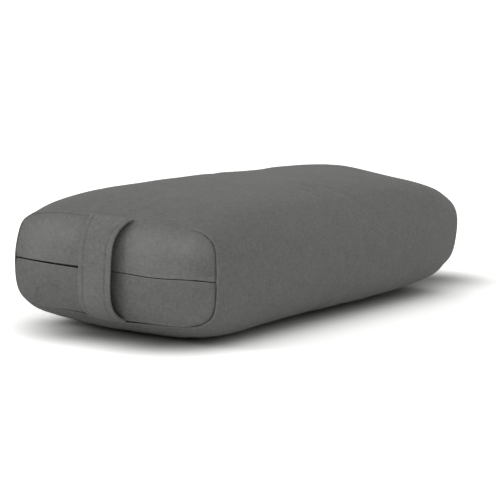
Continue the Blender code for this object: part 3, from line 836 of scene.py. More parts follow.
panel = {
    "grid": (40, 20),        # columns and rows of the simulated cut
    "folds": 0.9,
    "inset": 0.0012,         # the panels' edge lies behind the wrap's
    "foldInset": 0.0020,
    "foldBack": (0.0008, 0.0020, 0.0078),      # how far back each row of the allowance lies
    "acrossSteps": 74,
    "acrossRows": (0.0025, 0.0075, 0.016, 0.029),     # shares of the closer rows at the seam
    "upSteps": 30,
    "upRows": (0.0055, 0.018, 0.038, 0.066),
    "lipRows": (0.0035, 0.0095, 0.020, 0.038),
    "rowGap": 1.4,           # even rows start this much further in
    "middleGap": 0.3,        # and end this share of a row before the middle
    "rayStart": 0.05,        # how far out the look for the simulated sheet begins
    "napAndPaintedLight": {-1: 0.26, 1: 0.68, 0: 0.40},       # lighter pile on the lower, upper and rear panel; the upper one lighter still as painted light from above
    "napAndLightFade": (0.7, 0.009),                   # how much of that is lost at the seam, how far in
    # painted shade along the panels' seam edge: strength and reach
    "seamDark": (1.5, 0.0008),
    "seamRow": 0.0004,
    "paintedShading": (             # middle, reach and tone of painted patches: a painted shadow beside the handle, and painted shade and light over the handle end's hollows and swells
        ((-0.007, 0.086), (0.009, 0.040), -1.50),
        ((-0.021, 0.134), (0.005, 0.010), -1.20),
        ((-0.122, 0.093), (0.016, 0.009), -0.50),
        ((-0.108, 0.062), (0.022, 0.014), -0.25),
        ((-0.060, 0.112), (0.035, 0.010), 0.40),
        ((-0.045, 0.095), (0.014, 0.012), 0.25),
        ((-0.085, 0.102), (0.012, 0.008), -0.25),
        ((-0.100, 0.115), (0.012, 0.008), 0.35),
        ((0.075, 0.116), (0.025, 0.010), 0.30),
        ((0.060, 0.095), (0.020, 0.008), -0.25),
        ((0.085, 0.050), (0.020, 0.012), -0.35),
        ((0.115, 0.045), (0.012, 0.016), -0.30),
    ),
    "creases": (             # middle, reach and height of puckers on the handle end
        ((-0.1325, 0.0835), (0.012, 0.0036), -0.0015),
        ((-0.1300, 0.0740), (0.013, 0.0040), 0.0012),
        ((-0.1300, 0.0660), (0.012, 0.0036), -0.0010),
        ((-0.1270, 0.0300), (0.010, 0.0035), -0.0008),
        ((-0.1240, 0.0370), (0.012, 0.0035), 0.0006),
        ((-0.0900, 0.0500), (0.040, 0.0180), -0.0009),
        ((-0.0800, 0.1050), (0.035, 0.0160), 0.0008),
        ((0.0850, 0.1050), (0.035, 0.0160), 0.0006),
        ((0.0900, 0.0500), (0.040, 0.0160), -0.0006),
    ),
    "creaseCut": 3,          # reaches beyond which a pucker is left out
    "creaseEdge": 0.0005,    # and how near the seam's plane
}
frontEnd = endShape(cushion["frontSeam"], -1, panel["inset"], panel["inset"],
                    cushion["frontBulge"])
rearEnd = endShape(cushion["rearSeam"], 1, panel["inset"], panel["inset"], cushion["rearBulge"])


def panelShares(lip):
    # even rows, closer ones along the seam and, up and down, along the middle
    first = panel["acrossRows"][-1] * panel["rowGap"]
    last = 0.5 - panel["middleGap"] / panel["acrossSteps"]
    even = [share for share in spread(0.0, 1.0, panel["acrossSteps"]) if first < share < last]
    half = [0.0, *panel["acrossRows"], *even]
    across = half + [0.5] + [1 - share for share in reversed(half)]
    first, last = (panel[rows][-1] * panel["rowGap"] for rows in ("upRows", "lipRows"))
    even = [share for share in spread(0.0, 1.0, panel["upSteps"]) if first < share < 0.5 - last]
    nearLip = [0.5 - share for share in reversed(panel["lipRows"])]
    lower = [0.0, *panel["upRows"], *even, *nearLip, 0.5]
    upper = [1 - share for share in reversed(lower)]
    return across, {-1: lower, 1: upper, 0: lower[:-1] + upper}[lip]


def layPanel(bm, end, sheet, lip):
    # lays the fine grid on the simulated sheet, opens the slit and sets the pile's tone, with
    # painted light, shade and shadow
    side = end["side"]
    tone = bm.verts.layers.float["wearAndPaintedShade"]
    lost, napAndLightReach = panel["napAndLightFade"]
    dark, darkReach = panel["seamDark"]
    lift, liftReach = seam["fill"]
    roll, rollReach = slit["lipRoll"]
    for vert in bm.verts:
        edgeGap = (1 - endReach(end, vert.co.y, vert.co.z)[2]) * end["halfHeight"]
        shown = seamShow(vert.co.y, vert.co.z)
        # lighter pile, with painted light on the upper panel, fading at the seam
        vert[tone] = panel["napAndPaintedLight"][lip] * (1 - lost * bell(edgeGap / napAndLightReach))
        # painted shade along the seam
        vert[tone] -= dark * bell(edgeGap / darkReach) * shown
        hit = None
        if edgeGap > panel["seamRow"]:
            outside = Vector((end["seamX"] + side * panel["rayStart"], vert.co.y, vert.co.z))
            hit = sheet.ray_cast(outside, Vector((-side, 0, 0)))[0]
        if hit:
            vert.co.x = hit.x
        if end is frontEnd:
            vert.co.x += side * lift * bell(edgeGap / liftReach) * (1 - shown)
        if lip:
            fade = lipFade(end, vert.co.y)
            vert.co.z = slitZ(end, vert.co.y, vert.co.z, lip)
            lipGap = abs(vert.co.z - lineZ(vert.co.y)) - halfSlit(vert.co.y)
            vert.co.x -= side * roll * bell(lipGap / rollReach) * fade
            # painted highlight on the lower lip's edge, painted shade on the upper
            vert[tone] += slit["lipHighlightAndShade"][lip] * max(1 - lipGap / slit["lipHighlightReach"], 0) * fade
        # painted shadow beside the handle, painted shade and light on the handle end
        if end is frontEnd:
            vert[tone] += sum(shade * bump(vert.co.yz, middle, reaches)
                              for middle, reaches, shade in panel["paintedShading"])


def foldSeam(bm, end, edges):
    # the seam's edge turns in and lies back as its allowance
    drawnIn = panel["foldInset"] - panel["inset"]
    for turn, back in enumerate(panel["foldBack"]):
        edges, verts = extrudeRim(bm, edges)
        for vert in verts:
            vert.co.x = end["seamX"] - end["side"] * back
            if turn == 0:
                vert.co.y *= 1 - drawnIn / end["halfWidth"]
                vert.co.z += (end["middle"] - vert.co.z) * drawnIn / end["halfHeight"]


def pressCreases(bm, end):
    for vert in bm.verts:
        if vert.is_boundary or abs(vert.co.x - end["seamX"]) < panel["creaseEdge"]:
            continue
        for middle, reaches, height in panel["creases"]:
            if farness(vert.co.yz, middle, reaches) < panel["creaseCut"] ** 2:
                vert.co.x += end["side"] * height * bump(vert.co.yz, middle, reaches)


def finishPanel(end, name, node, sheet, lip=0):
    # a fine grid laid on the simulated sheet, with its seam fold and, at the zip, its lip
    bm = endMesh(end, *panelShares(lip))
    bm.verts.layers.float.new("wearAndPaintedShade")      # before any vertex is remembered
    seamVerts = {vert for vert in bm.verts
                 if vert.is_boundary and abs(vert.co.x - end["seamX"]) < tiny}
    lipVerts = {vert for vert in bm.verts
                if lip and vert not in seamVerts and abs(vert.co.z - end["middle"]) < tiny * 10}
    layPanel(bm, end, sheet, lip)
    cornerY = end["halfWidth"] * slit["cornerShare"]
    for vert in seamVerts:
        lipGap = abs(abs(vert.co.z - zipArc["height"]) - halfSlit(vert.co.y))
        if lip and lipGap < slit["cornerGap"] and abs(vert.co.y) > cornerY:
            lipVerts.add(vert)
        if end is frontEnd:
            drawn = seam["drawn"] * (1 - seamShow(vert.co.y, vert.co.z))
            vert.co.y += drawn * vert.co.y / end["halfWidth"]
            vert.co.z += drawn * (vert.co.z - end["middle"]) / end["halfHeight"]
    border = [edge for edge in bm.edges if edge.is_boundary]
    lips = [edge for edge in border if lipVerts.issuperset(edge.verts)]
    foldSeam(bm, end, [edge for edge in border if seamVerts.issuperset(edge.verts)])
    if lips:
        for vert in extrudeRim(bm, lips)[1]:
            vert.co.x -= end["side"] * slit["lipTurn"] * lipFade(end, vert.co.y)
            vert.co.z += lip * slit["lipLift"]
    faceAlong(bm, end["side"])
    if end is frontEnd:
        pressCreases(bm, end)
    settle(bm)
    if lip:
        clearPull(bm)
    piece = newPiece(name, bm, coverSuede)
    giveCloth(piece, cover["cloth"], 1, even=False)
    standsFor(piece, "cover_suede", node)


def endPieces():
    print("end panels")
    for end, seed in ((frontEnd, "front"), (rearEnd, "rear")):
        columns, rows = panel["grid"]
        bm = endMesh(end, spread(0.0, 1.0, columns), spread(0.0, 1.0, rows))
        whole = newPiece("panelCloth", bm, coverSuede)
        heldVerts = [vert.index for vert in whole.data.vertices
                     if abs(vert.co.x - end["seamX"]) < tiny]
        simulateFolds(whole, heldVerts, panel["folds"])
        bm = bmesh.new()
        bm.from_mesh(whole.data)
        bpy.data.objects.remove(whole, do_unlink=True)
        softDents(bm, relief["end"], relief["seeds"][seed], (end["seamX"],))
        sheet = BVHTree.FromBMesh(bm)
        bm.free()
        if end is rearEnd:
            finishPanel(end, "rearPanel", "rear_panel", sheet)
        else:
            finishPanel(end, "endPanelLower", "end_panel_lower", sheet, -1)
            finishPanel(end, "endPanelUpper", "end_panel_upper", sheet, 1)


# The handle is two cloth faces over webbing, stitched along both edges
handle = {
    "reach": 0.0320,
    "offset": 0.0060,
    "middleWidth": 0.0440,
    "upperSpread": (0.0275, 0.0325),         # half its width at the roots, on its +Y and -Y side
    "lowerSpread": (0.0240, 0.0262),
    "upperFlare": (3.0, 9.0),                # how late each side widens
    "lowerFlare": (3.0, 13.0),
    "bowPower": (7.5, 3.0),                  # how long its lower and upper half stay clear
    "panelInset": 0.0015,
    "gap": 0.0003,
    "thickness": 0.0034,
    "cloth": 0.0008,
    "cut": (0.13, 0.025),                    # length and half width of the cloth
    "lengthSteps": 72,
    "edgeShares": (0.0, 0.006, 0.025, 0.06, 0.15, 0.22, 0.27, 0.32, 0.37, 0.43, 0.60),
    "wave": (0.0005, 2.2, 0.7),              # height, and turns along and across
    "stitchInset": 0.0070,
    "stitchDip": (0.00065, 0.0011),          # depth and reach
    # painted shade in the stitch groove, and lighter edges from wear and a painted highlight: tone
    # and reach
    "grooveShade": (0.5, 0.0010),
    "edgeWearAndHighlight": (0.5, 0.0007),
    "crown": 0.0006,
    "edgeRoll": 0.0011,
    "edgeHalf": 0.0002,                      # half the cloth's height where its edge rolls under
    "webbingMargin": 0.0040,
    "webbingLift": 0.0005,
    "webbingStep": 0.006,
    "webbing": 0.0009,
}
handlePanel = endShape(cushion["frontSeam"], -1, handle["panelInset"], handle["panelInset"],
                       cushion["frontBulge"])
fingerGap = handle["reach"] - cushion["frontBulge"] - handle["thickness"]


def handlePath(share):
    # the handle's inner face over the panel's middle, as x and z
    z = handlePanel["middle"] + share * handlePanel["halfHeight"]
    bow = 1 - min(abs(share), 1.0) ** handle["bowPower"][share > 0]
    x = faceX(handlePanel, 0, z) - handle["gap"] - (fingerGap - handle["gap"]) * bow
    return Vector((x, z))


def handleFrame(share):
    step = 0.01
    run = handlePath(min(share + step, 1)) - handlePath(max(share - step, -1))
    return handlePath(share), Vector((-run.y, run.x)).normalized()


def handleSpot(share, across, lift, margin=0.0):
    # a point on the handle: across from -1 to 1, lift outwards from its inner face
    here, outward = handleFrame(share)
    side = 1 if across < 0 else 0
    part = "upper" if share > 0 else "lower"
    root, power = handle[part + "Spread"][side], handle[part + "Flare"][side]
    half = handle["middleWidth"] / 2
    halfWidth = half + (root - half) * abs(share) ** power - margin
    height, along, aside = handle["wave"]
    wave = height * noise.noise(Vector((share * along, across * aside, 4.0)))
    spot = here + outward * (lift + wave)
    return Vector((spot.x, handle["offset"] + across * halfWidth, spot.y)), halfWidth


def crossProfile(distance, halfWidth):
    # how far the face stands from the handle's middle plane at a distance from its edge
    across = 1 - distance / halfWidth
    dip, reach = handle["stitchDip"]
    height = handle["thickness"] / 2 + handle["crown"] * (1 - across ** 2)
    height -= dip * bell((distance - handle["stitchInset"]) / reach)
    roll = max(1 - distance / handle["edgeRoll"], 0.0)
    return height - (height - handle["edgeHalf"]) * (1 - math.sqrt(max(1 - roll ** 2, 0.0)))


def handleFacePiece(name, node, outside):
    steps = handle["lengthSteps"]
    length, halfCut = handle["cut"]
    edgeShares = handle["edgeShares"]
    acrossList = [share - 1 for share in edgeShares] + [0.0]
    acrossList += [1 - share for share in reversed(edgeShares)]

    def place(column, row):
        share = 2 * row / steps - 1
        across = acrossList[column]
        halfWidth = handleSpot(share, across, 0.0)[1]
        height = crossProfile((1 - abs(across)) * halfWidth, halfWidth)
        lift = handle["thickness"] / 2 + (height if outside else -height)
        return handleSpot(share, across, lift)[0]

    bm = gridMesh(len(acrossList) - 1, steps, place,
                  lambda column, row: (length * row / steps, halfCut * acrossList[column]))
    tone = bm.verts.layers.float.new("wearAndPaintedShade")
    wearAndHighlight, wearAndHighlightReach = handle["edgeWearAndHighlight"]
    dark, darkReach = handle["grooveShade"]
    for vert in bm.verts:
        share = (vert.co.z - handlePanel["middle"]) / handlePanel["halfHeight"]
        aside = vert.co.y - handle["offset"]
        halfWidth = handleSpot(min(max(share, -1), 1), 1 if aside > 0 else -1, 0)[1]
        distance = halfWidth - abs(aside)
        groove = bell((distance - handle["stitchInset"]) / darkReach)
        # lighter edges as wear and painted highlight, painted shade in the stitch groove
        vert[tone] = wearAndHighlight * bell(distance / wearAndHighlightReach) - dark * groove
    faceAlong(bm, -1 if outside else 1)
    settle(bm)
    piece = newPiece(name, bm, handleSuede)
    giveCloth(piece, handle["cloth"], 1)
    standsFor(piece, "handle_suede", node)


def webbingPiece():
    steps = handle["lengthSteps"] // 2
    lift = handle["thickness"] / 2 + handle["webbingLift"]

    def place(column, row):
        return handleSpot(2 * row / steps - 1, column / 3 - 1, lift, handle["webbingMargin"])[0]

    bm = gridMesh(6, steps, place, lambda column, row: (handle["cut"][0] * row / steps,
                                                        handle["webbingStep"] * column))
    faceAlong(bm, -1)
    settle(bm)
    piece = newPiece("handleWebbing", bm, tapeCloth)
    giveCloth(piece, handle["webbing"], 1)
    standsFor(piece, "binding_tape", "handle_webbing")


stitches = {
    "row": 0.130,
    "rowShare": 0.965,
    "pitch": 0.0034,
    "length": 0.0027,
    "lengthChange": (0.94, 1.05),
    "width": 0.00055,
    "height": 0.00042,
    "lift": 0.00005,
    "skew": 0.05,
    "seed": 5,
}


def stitchRow(bm, spots, outwards, seed):
    # short ellipsoids of thread laid end to end along a line of points
    rng = random.Random(seed)
    for start, end, outward in zip(spots[:-1], spots[1:], outwards):
        run = end - start
        side = outward.cross(run).normalized()
        turned = Matrix((run.normalized(), side, outward)).transposed().to_4x4()
        size = Matrix.Diagonal((stitches["length"] / 2 * rng.uniform(*stitches["lengthChange"]),
                                stitches["width"] / 2, stitches["height"] / 2, 1))
        skew = Matrix.Rotation(rng.uniform(-stitches["skew"], stitches["skew"]), 4, "Z")
        middle = Matrix.Translation((start + end) / 2)
        bmesh.ops.create_icosphere(bm, subdivisions=1, radius=1,
                                   matrix=middle @ turned @ skew @ size)


def handleStitches():
    bm = bmesh.new()
    count = round(stitches["row"] / stitches["pitch"])
    for outside in (True, False):
        for sideSign in (-1, 1):
            spots, outwards = [], []
            for step in range(count + 1):
                share = (2 * step / count - 1) * stitches["rowShare"]
                halfWidth = handleSpot(share, sideSign, 0)[1]
                across = sideSign * (1 - handle["stitchInset"] / halfWidth)
                height = crossProfile(handle["stitchInset"], halfWidth) + stitches["lift"]
                lift = handle["thickness"] / 2 + (height if outside else -height)
                spots.append(handleSpot(share, across, lift)[0])
                outward = handleFrame(share)[1]
                outwards.append(Vector((outward.x, 0, outward.y)) * (1 if outside else -1))
            stitchRow(bm, spots, outwards, stitches["seed"] + sideSign)
    settle(bm)
    piece = newPiece("handleStitches", bm, greyThread)


def handlePieces():
    print("handle")
    handleFacePiece("handleFace", "handle_face", True)
    handleFacePiece("handleBack", "handle_back", False)
    webbingPiece()
    handleStitches()


# The zip's tapes and coils lie along its arc, with stops, slider and pull
zipLook = {
    "rowDepth": 0.0044,
    "rowGap": 0.0020,
    "rowWidth": 0.0020,
    "rowHeight": 0.0014,
    "rowHalf": 0.1250,
    "coilPitch": 0.00125,
    "coilWire": 0.00028,
    "coilSlant": 0.28,       # how far a loop leans along the row, in pitches
    "tapeProfile": (         # height above the zip's line and depth behind its arc
        (0.0010, 0.00565), (0.0030, 0.00565), (0.0050, 0.00565),
        (0.0079, 0.00175), (0.0105, 0.00175), (0.0130, 0.00175),
    ),
    "tapeSteps": 90,
    "tapeWeave": (0.0030, 0.0026),           # cloth between the tape's columns and rows
    "tapeCloth": 0.0005,
    "tapeReach": 0.1355,
    "merge": 0.00001,
    "flat": 2,               # degrees up to which two faces count as one
    "sharp": 0.6,            # radians from which an edge is rounded off
    "bevels": {"stop": 0.0002, "slider": 0.00014, "pull": 0.00018},
}


def onArc(length, depth, up):
    turn = length / zipArc["radius"]
    radius = zipArc["radius"] - depth
    return Vector((zipArc["centreX"] - radius * math.cos(turn), radius * math.sin(turn),
                   zipArc["height"] + up))


def zipTape(name, node, side):
    profile, steps = zipLook["tapeProfile"], zipLook["tapeSteps"]
    along, aside = zipLook["tapeWeave"]

    def place(column, row):
        up, depth = profile[row]
        return onArc(zipLook["tapeReach"] * (2 * column / steps - 1), depth, side * up)

    bm = gridMesh(steps, len(profile) - 1, place,
                  lambda column, row: (along * column, aside * row))
    faceAlong(bm, -1)
    piece = newPiece(name, bm, zipCloth)
    giveCloth(piece, zipLook["tapeCloth"], 0, offset=0)
    standsFor(piece, "zip_tape", node)


def coilRow(name, node, side):
    # a spiral of nylon: one slanted loop for each tooth
    bm = bmesh.new()
    wire, pitch = zipLook["coilWire"], zipLook["coilPitch"]
    size = Matrix.Diagonal((zipLook["rowHeight"] / 2 - wire / 2, 1,
                            zipLook["rowWidth"] / 2 - wire / 2))
    for tooth in range(round(2 * zipLook["rowHalf"] / pitch)):
        length = -zipLook["rowHalf"] + (tooth + 0.5) * pitch
        before = set(bm.verts)
        bmesh.ops.create_circle(bm, segments=4, radius=wire)
        ring = [vert for vert in bm.verts if vert not in before]
        bmesh.ops.translate(bm, verts=ring, vec=(1, 0, 0))
        bmesh.ops.rotate(bm, verts=ring, matrix=Matrix.Rotation(math.pi / 2, 3, "X"),
                         cent=(1, 0, 0))
        edges = {edge for vert in ring for edge in vert.link_edges}
        bmesh.ops.spin(bm, geom=ring + list(edges), cent=(0, 0, 0), axis=(0, 1, 0),
                       angle=math.tau, steps=8, use_merge=True)
        loop = [vert for vert in bm.verts if vert not in before]
        for vert in loop:
            flat = Vector((vert.co.x, 0, vert.co.z))
            ringPart = flat.normalized()
            lean = side * ringPart.z * pitch * zipLook["coilSlant"]
            vert.co = size @ ringPart + flat - ringPart + Vector((0, vert.co.y + lean, 0))
        turned = Matrix.Rotation(-length / zipArc["radius"], 3, "Z")
        bmesh.ops.rotate(bm, verts=loop, matrix=turned, cent=(0, 0, 0))
        up = side * (zipLook["rowGap"] + zipLook["rowWidth"]) / 2
        bmesh.ops.translate(bm, verts=loop, vec=onArc(length, zipLook["rowDepth"], up))
    bmesh.ops.recalc_face_normals(bm, faces=bm.faces)
    piece = newPiece(name, bm, blackNylon)
    standsFor(piece, "zip_coil", node)


def roundedCopy(name, node, body, width):
    # the CAD piece's own shape with its doubles merged and its sharp edges rounded off
    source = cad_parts[node]
    bm = bmesh.new()
    bm.from_mesh(source.data)
    bmesh.ops.transform(bm, verts=bm.verts, matrix=source.matrix_world)
    bmesh.ops.remove_doubles(bm, verts=bm.verts, dist=zipLook["merge"])
    bmesh.ops.dissolve_limit(bm, angle_limit=math.radians(zipLook["flat"]), verts=bm.verts,
                             edges=bm.edges)
    sharp = [edge for edge in bm.edges
             if edge.is_manifold and edge.calc_face_angle(0) > zipLook["sharp"]]
    bmesh.ops.bevel(bm, geom=sharp, offset=width, affect="EDGES", segments=2, profile=0.5,
                    material=-1, clamp_overlap=True)
    piece = newPiece(name, bm, darkMetal, body, angle=50)
    standsFor(piece, "zip_metal", node)


def zipPieces():
    print("zip")
    zipTape("zipTapeUpper", "zip_tape_upper", 1)
    zipTape("zipTapeLower", "zip_tape_lower", -1)
    coilRow("zipCoilUpper", "zip_coil_upper", 1)
    coilRow("zipCoilLower", "zip_coil_lower", -1)
    bevels = zipLook["bevels"]
    roundedCopy("zipBottomStop", "zip_bottom_stop", "bolster", bevels["stop"])
    roundedCopy("zipTopStopUpper", "zip_top_stop_upper", "bolster", bevels["stop"])
    roundedCopy("zipTopStopLower", "zip_top_stop_lower", "bolster", bevels["stop"])
    roundedCopy("zipSlider", "zip_slider", "slider", bevels["slider"])
    roundedCopy("zipPull", "zip_pull", "pull", bevels["pull"])


# Inside are the seam bindings, the liner, the batting and the three pressed layers
inside = {
    "sides": 5,
    "tops": 10,
    "columns": 40,
    "binding": (0.0020, 0.0080),     # how far from the seam a binding starts and ends
    "bindingInset": 0.0030,
    "bindingCloth": 0.0008,
    "underWidth": 0.016,
    "underInset": 0.0015,
    "underSteps": (60, 4),
    "underRing": (4, 8),
    "linerSetback": 0.0105,
    "linerInset": 0.0015,
    "linerFloor": 0.0026,
    "linerCloth": 0.0006,
    "linerBulge": 0.0120,
    "linerTurn": 0.004,
    "battingSetback": 0.0155,
    "battingInset": 0.0024,
    "battingFloor": 0.0035,
    "batting": 0.0080,
    "coreInset": 0.0113,
    "coreFloor": 0.0124,
    "coreBulge": 0.0150,
    "cuts": (0.0594, 0.1122),
    "cutGap": 0.0004,
}


def bindings():
    near, far = inside["binding"]
    for name, node, start, end in (
            ("frontSeamBinding", "front_seam_binding", cushion["frontSeam"] + near,
             cushion["frontSeam"] + far),
            ("rearSeamBinding", "rear_seam_binding", cushion["rearSeam"] - far,
             cushion["rearSeam"] - near)):
        bm = tubeMesh(spread(start, end, 2), inside["bindingInset"], inside["bindingInset"],
                      cover["sides"], cover["tops"])
        settle(bm)
        piece = newPiece(name, bm, tapeCloth)
        giveCloth(piece, inside["bindingCloth"], 0)
        standsFor(piece, "binding_tape", node)
    columns, rows = inside["underSteps"]
    inset = inside["underInset"]
    stations = spread(cushion["frontSeam"] + inside["linerSetback"],
                      cushion["rearSeam"] - inside["linerSetback"], columns)

    def place(column, row):
        x = stations[column]
        floor = min(z for y, z in ringAt(x, inset, inset, *inside["underRing"]))
        return (x, inside["underWidth"] * (row / rows - 0.5), floor)

    bm = gridMesh(columns, rows, place,
                  lambda column, row: (stations[column], inside["underWidth"] * row / rows))
    faceOutward(bm, lambda point: Vector((0, 0, -1)))
    piece = newPiece("undersideSeamBinding", bm, tapeCloth)
    giveCloth(piece, inside["bindingCloth"], 0)
    standsFor(piece, "binding_tape", "underside_seam_binding")


def insideEnd(shape):
    return endMesh(shape, spread(0.0, 1.0, 2 * inside["tops"]),
                   spread(0.0, 1.0, 2 * inside["sides"]))


def linerPieces():
    start = cushion["frontSeam"] + inside["linerSetback"]
    end = cushion["rearSeam"] - inside["linerSetback"]
    bm = tubeMesh(spread(start, end, inside["columns"]), inside["linerInset"], inside["linerFloor"],
                  inside["sides"], inside["tops"])
    settle(bm)
    piece = newPiece("linerWrap", bm, cottonCloth)
    giveCloth(piece, inside["linerCloth"], 1)
    standsFor(piece, "liner_cotton", "liner_wrap")
    for name, node, x, side in (("linerFrontEnd", "liner_front_end", start, -1),
                                ("linerRearEnd", "liner_rear_end", end, 1)):
        bm = insideEnd(endShape(x, side, inside["battingInset"], inside["battingFloor"],
                                inside["linerBulge"]))
        for vert in extrudeRim(bm, [edge for edge in bm.edges if edge.is_boundary])[1]:
            vert.co.x -= side * inside["linerTurn"]
        faceAlong(bm, side)
        settle(bm)
        piece = newPiece(name, bm, cottonCloth)
        giveCloth(piece, inside["linerCloth"], 1)
        standsFor(piece, "liner_cotton", node)


def coreShape(start, end):
    bm = tubeMesh(spread(start, end, inside["columns"]), inside["coreInset"], inside["coreFloor"],
                  inside["sides"], inside["tops"])
    for x, side in ((start, -1), (end, 1)):
        cap = insideEnd(endShape(x, side, inside["coreInset"], inside["coreFloor"],
                                 inside["coreBulge"]))
        mesh = bpy.data.meshes.new("cap")
        cap.to_mesh(mesh)
        cap.free()
        bm.from_mesh(mesh)
        bpy.data.meshes.remove(mesh)
    bmesh.ops.remove_doubles(bm, verts=bm.verts, dist=tiny)
    bmesh.ops.recalc_face_normals(bm, faces=bm.faces)
    return bm


def cutLevel(bm, height, keepAbove):
    geometry = bm.verts[:] + bm.edges[:] + bm.faces[:]
    cut = bmesh.ops.bisect_plane(bm, geom=geometry, plane_co=(0, 0, height), plane_no=(0, 0, 1),
                                 clear_inner=keepAbove, clear_outer=not keepAbove)
    rim = [item for item in cut["geom_cut"] if isinstance(item, bmesh.types.BMEdge)]
    bmesh.ops.contextual_create(bm, geom=rim)
    bmesh.ops.recalc_face_normals(bm, faces=bm.faces)


def fillPieces():
    start = cushion["frontSeam"] + inside["battingSetback"]
    end = cushion["rearSeam"] - inside["battingSetback"]
    bm = tubeMesh(spread(start, end, inside["columns"]), inside["battingInset"],
                  inside["battingFloor"], inside["sides"], inside["tops"])
    settle(bm)
    piece = newPiece("battingWrap", bm, battingFill)
    giveCloth(piece, inside["batting"], 1)
    standsFor(piece, "batting", "batting_wrap")
    low, high = inside["cuts"]
    for name, node, floor, ceiling in (("coreLower", "core_lower", None, low),
                                       ("coreMiddle", "core_middle", low, high),
                                       ("coreUpper", "core_upper", high, None)):
        bm = coreShape(start, end)
        if floor:
            cutLevel(bm, floor + inside["cutGap"] / 2, True)
        if ceiling:
            cutLevel(bm, ceiling - inside["cutGap"] / 2, False)
        settle(bm)
        piece = newPiece(name, bm, coreFill, angle=45)
        standsFor(piece, "core_cotton", node)


studio = {
    "world": 0.64,
    "tint": (0.994, 1.0, 0.972),
    "aim": (0, 0, 0.08),
    "topPower": 4.75,
    "topPlace": (0.3, -0.9, 2.4),
    "topSize": 2.0,
    "frontPower": 16.75,
    "frontPlace": (-2.3, 1.5, 1.5),
    "frontSize": 1.3,
    "floorHalf": 30,
    "floorDrop": 0.0003,
    "floorBounce": 0.95,     # the floor's colour as the cushion sees it
    "floorShadowColour": 0.25,       # and as the camera does, under the cushion, where it is a painted shadow
    "floorFar": 1.81,        # and beside it
    # the painted shadow's fade width, box and middle
    "floorShadowReach": 0.14,
    "shadowFootprint": (0.335, 0.039, 1.0),
    "shadowFootprintMiddle": (0.055, -0.016, 0.0),
}


def areaLamp(name):
    data = bpy.data.lights.new(name + "Lamp", "AREA")
    data.shape = "DISK"
    data.size = studio[name + "Size"]
    data.energy = studio[name + "Power"]
    lamp = bpy.data.objects.new(name + "Lamp", data)
    bpy.context.collection.objects.link(lamp)
    lamp.location = studio[name + "Place"]
    beam = Vector(studio["aim"]) - lamp.location
    lamp.rotation_euler = beam.to_track_quat("-Z", "Y").to_euler()


def seenDirectly(tree):
    # 1 for rays that show the backdrop: straight, in a reflection or through glass
    path = addNode(tree, "ShaderNodeLightPath")
    first = addNode(tree, "ShaderNodeMath", {0: path.outputs["Is Camera Ray"],
                    1: path.outputs["Is Glossy Ray"]}, operation="MAXIMUM")
    return addNode(tree, "ShaderNodeMath", {0: first.outputs[0],
                   1: path.outputs["Is Transmission Ray"]}, operation="MAXIMUM").outputs[0]


def floorMaterial():
    # white far from the cushion, with a painted shadow darker under it, and pale to every ray but
    # the camera's
    material, tree, shader, place = newMaterial("floor_white")
    tree.nodes.remove(shader)
    centred = addNode(tree, "ShaderNodeVectorMath", {0: place, 1: studio["shadowFootprintMiddle"]},
                      operation="SUBTRACT").outputs[0]
    sided = addNode(tree, "ShaderNodeVectorMath", {0: centred}, operation="ABSOLUTE").outputs[0]
    past = addNode(tree, "ShaderNodeVectorMath", {0: sided, 1: studio["shadowFootprint"]},
                   operation="SUBTRACT").outputs[0]
    beyond = addNode(tree, "ShaderNodeVectorMath", {0: past, 1: (0, 0, 0)}, operation="MAXIMUM")
    away = addNode(tree, "ShaderNodeVectorMath", {0: beyond.outputs[0]}, operation="LENGTH")
    shown = addNode(tree, "ShaderNodeMapRange", {"Value": away.outputs["Value"],
                    "From Max": studio["floorShadowReach"], "To Min": studio["floorShadowColour"],
                    "To Max": studio["floorFar"]}, interpolation_type="SMOOTHSTEP")
    bounce = tuple(part * studio["floorBounce"] for part in studio["tint"])
    colour = addNode(tree, "ShaderNodeMix", {0: seenDirectly(tree), 6: (*bounce, 1),
                     7: shown.outputs[0]}, data_type="RGBA")
    matte = addNode(tree, "ShaderNodeBsdfDiffuse", {"Color": colour.outputs[2]})
    tree.links.new(matte.outputs[0], tree.nodes["Material Output"].inputs["Surface"])
    return material


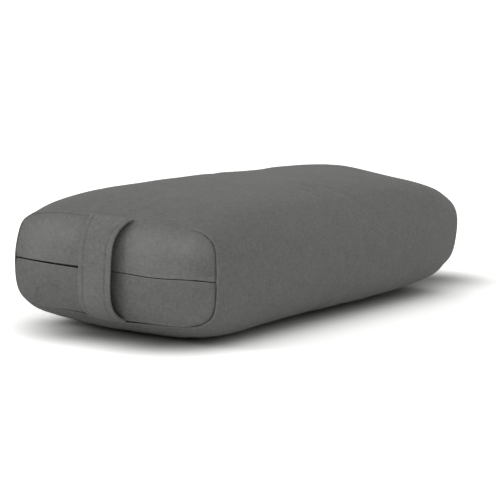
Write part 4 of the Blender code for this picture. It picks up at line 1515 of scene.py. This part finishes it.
def addStudio():
    print("studio")
    world = bpy.data.worlds.new("studio")
    bpy.context.scene.world = world
    world.use_nodes = True
    tree = world.node_tree
    background = tree.nodes["Background"]
    direct = seenDirectly(tree)
    shade = blendColours(tree, direct, studio["tint"], (1, 1, 1))
    tree.links.new(shade, background.inputs["Color"])
    strength = addNode(tree, "ShaderNodeMapRange", {"Value": direct,
                       "To Min": studio["world"], "To Max": 1.0})
    tree.links.new(strength.outputs[0], background.inputs["Strength"])
    areaLamp("top")
    areaLamp("front")
    bm = bmesh.new()
    bmesh.ops.create_grid(bm, x_segments=1, y_segments=1, size=studio["floorHalf"])
    mesh = bpy.data.meshes.new("floor")
    bm.to_mesh(mesh)
    bm.free()
    mesh.materials.append(floorMaterial())
    floor = bpy.data.objects.new("floor", mesh)
    bpy.context.collection.objects.link(floor)
    floor.location.z = -studio["floorDrop"]


cameraFit = {
    "target": (0.0075, 0.0, 0.075),
    "distance": 2.7542,
    "yaw": 31.11,            # the view's turn from +X towards +Y, in degrees
    "elevation": 7.67,
    "roll": 2.07,
    "lens": 156.77,
    "sensor": 36,
    "clip": (0.1, 100),
    "shift": (-0.0028, -0.0054),
}


def addCamera():
    yaw, up = math.radians(cameraFit["yaw"]), math.radians(cameraFit["elevation"])
    forward = Vector((math.cos(yaw) * math.cos(up), math.sin(yaw) * math.cos(up), -math.sin(up)))
    right = Vector((math.sin(yaw), -math.cos(yaw), 0))
    above = right.cross(forward)
    roll = math.radians(cameraFit["roll"])
    sideways = right * math.cos(roll) + above * math.sin(roll)
    upright = above * math.cos(roll) - right * math.sin(roll)
    data = bpy.data.cameras.new("camera")
    data.lens = cameraFit["lens"]
    data.sensor_width = cameraFit["sensor"]
    data.shift_x, data.shift_y = cameraFit["shift"]
    data.clip_start, data.clip_end = cameraFit["clip"]
    camera = bpy.data.objects.new("camera", data)
    bpy.context.collection.objects.link(camera)
    turned = Matrix((sideways, upright, -forward)).transposed().to_4x4()
    place = Vector(cameraFit["target"]) - forward * cameraFit["distance"]
    camera.matrix_world = Matrix.Translation(place) @ turned
    bpy.context.scene.camera = camera


wrapPiece()
endPieces()
handlePieces()
zipPieces()
print("inside")
bindings()
linerPieces()
fillPieces()
addStudio()
addCamera()
bpy.context.scene.view_settings.view_transform = "Standard"
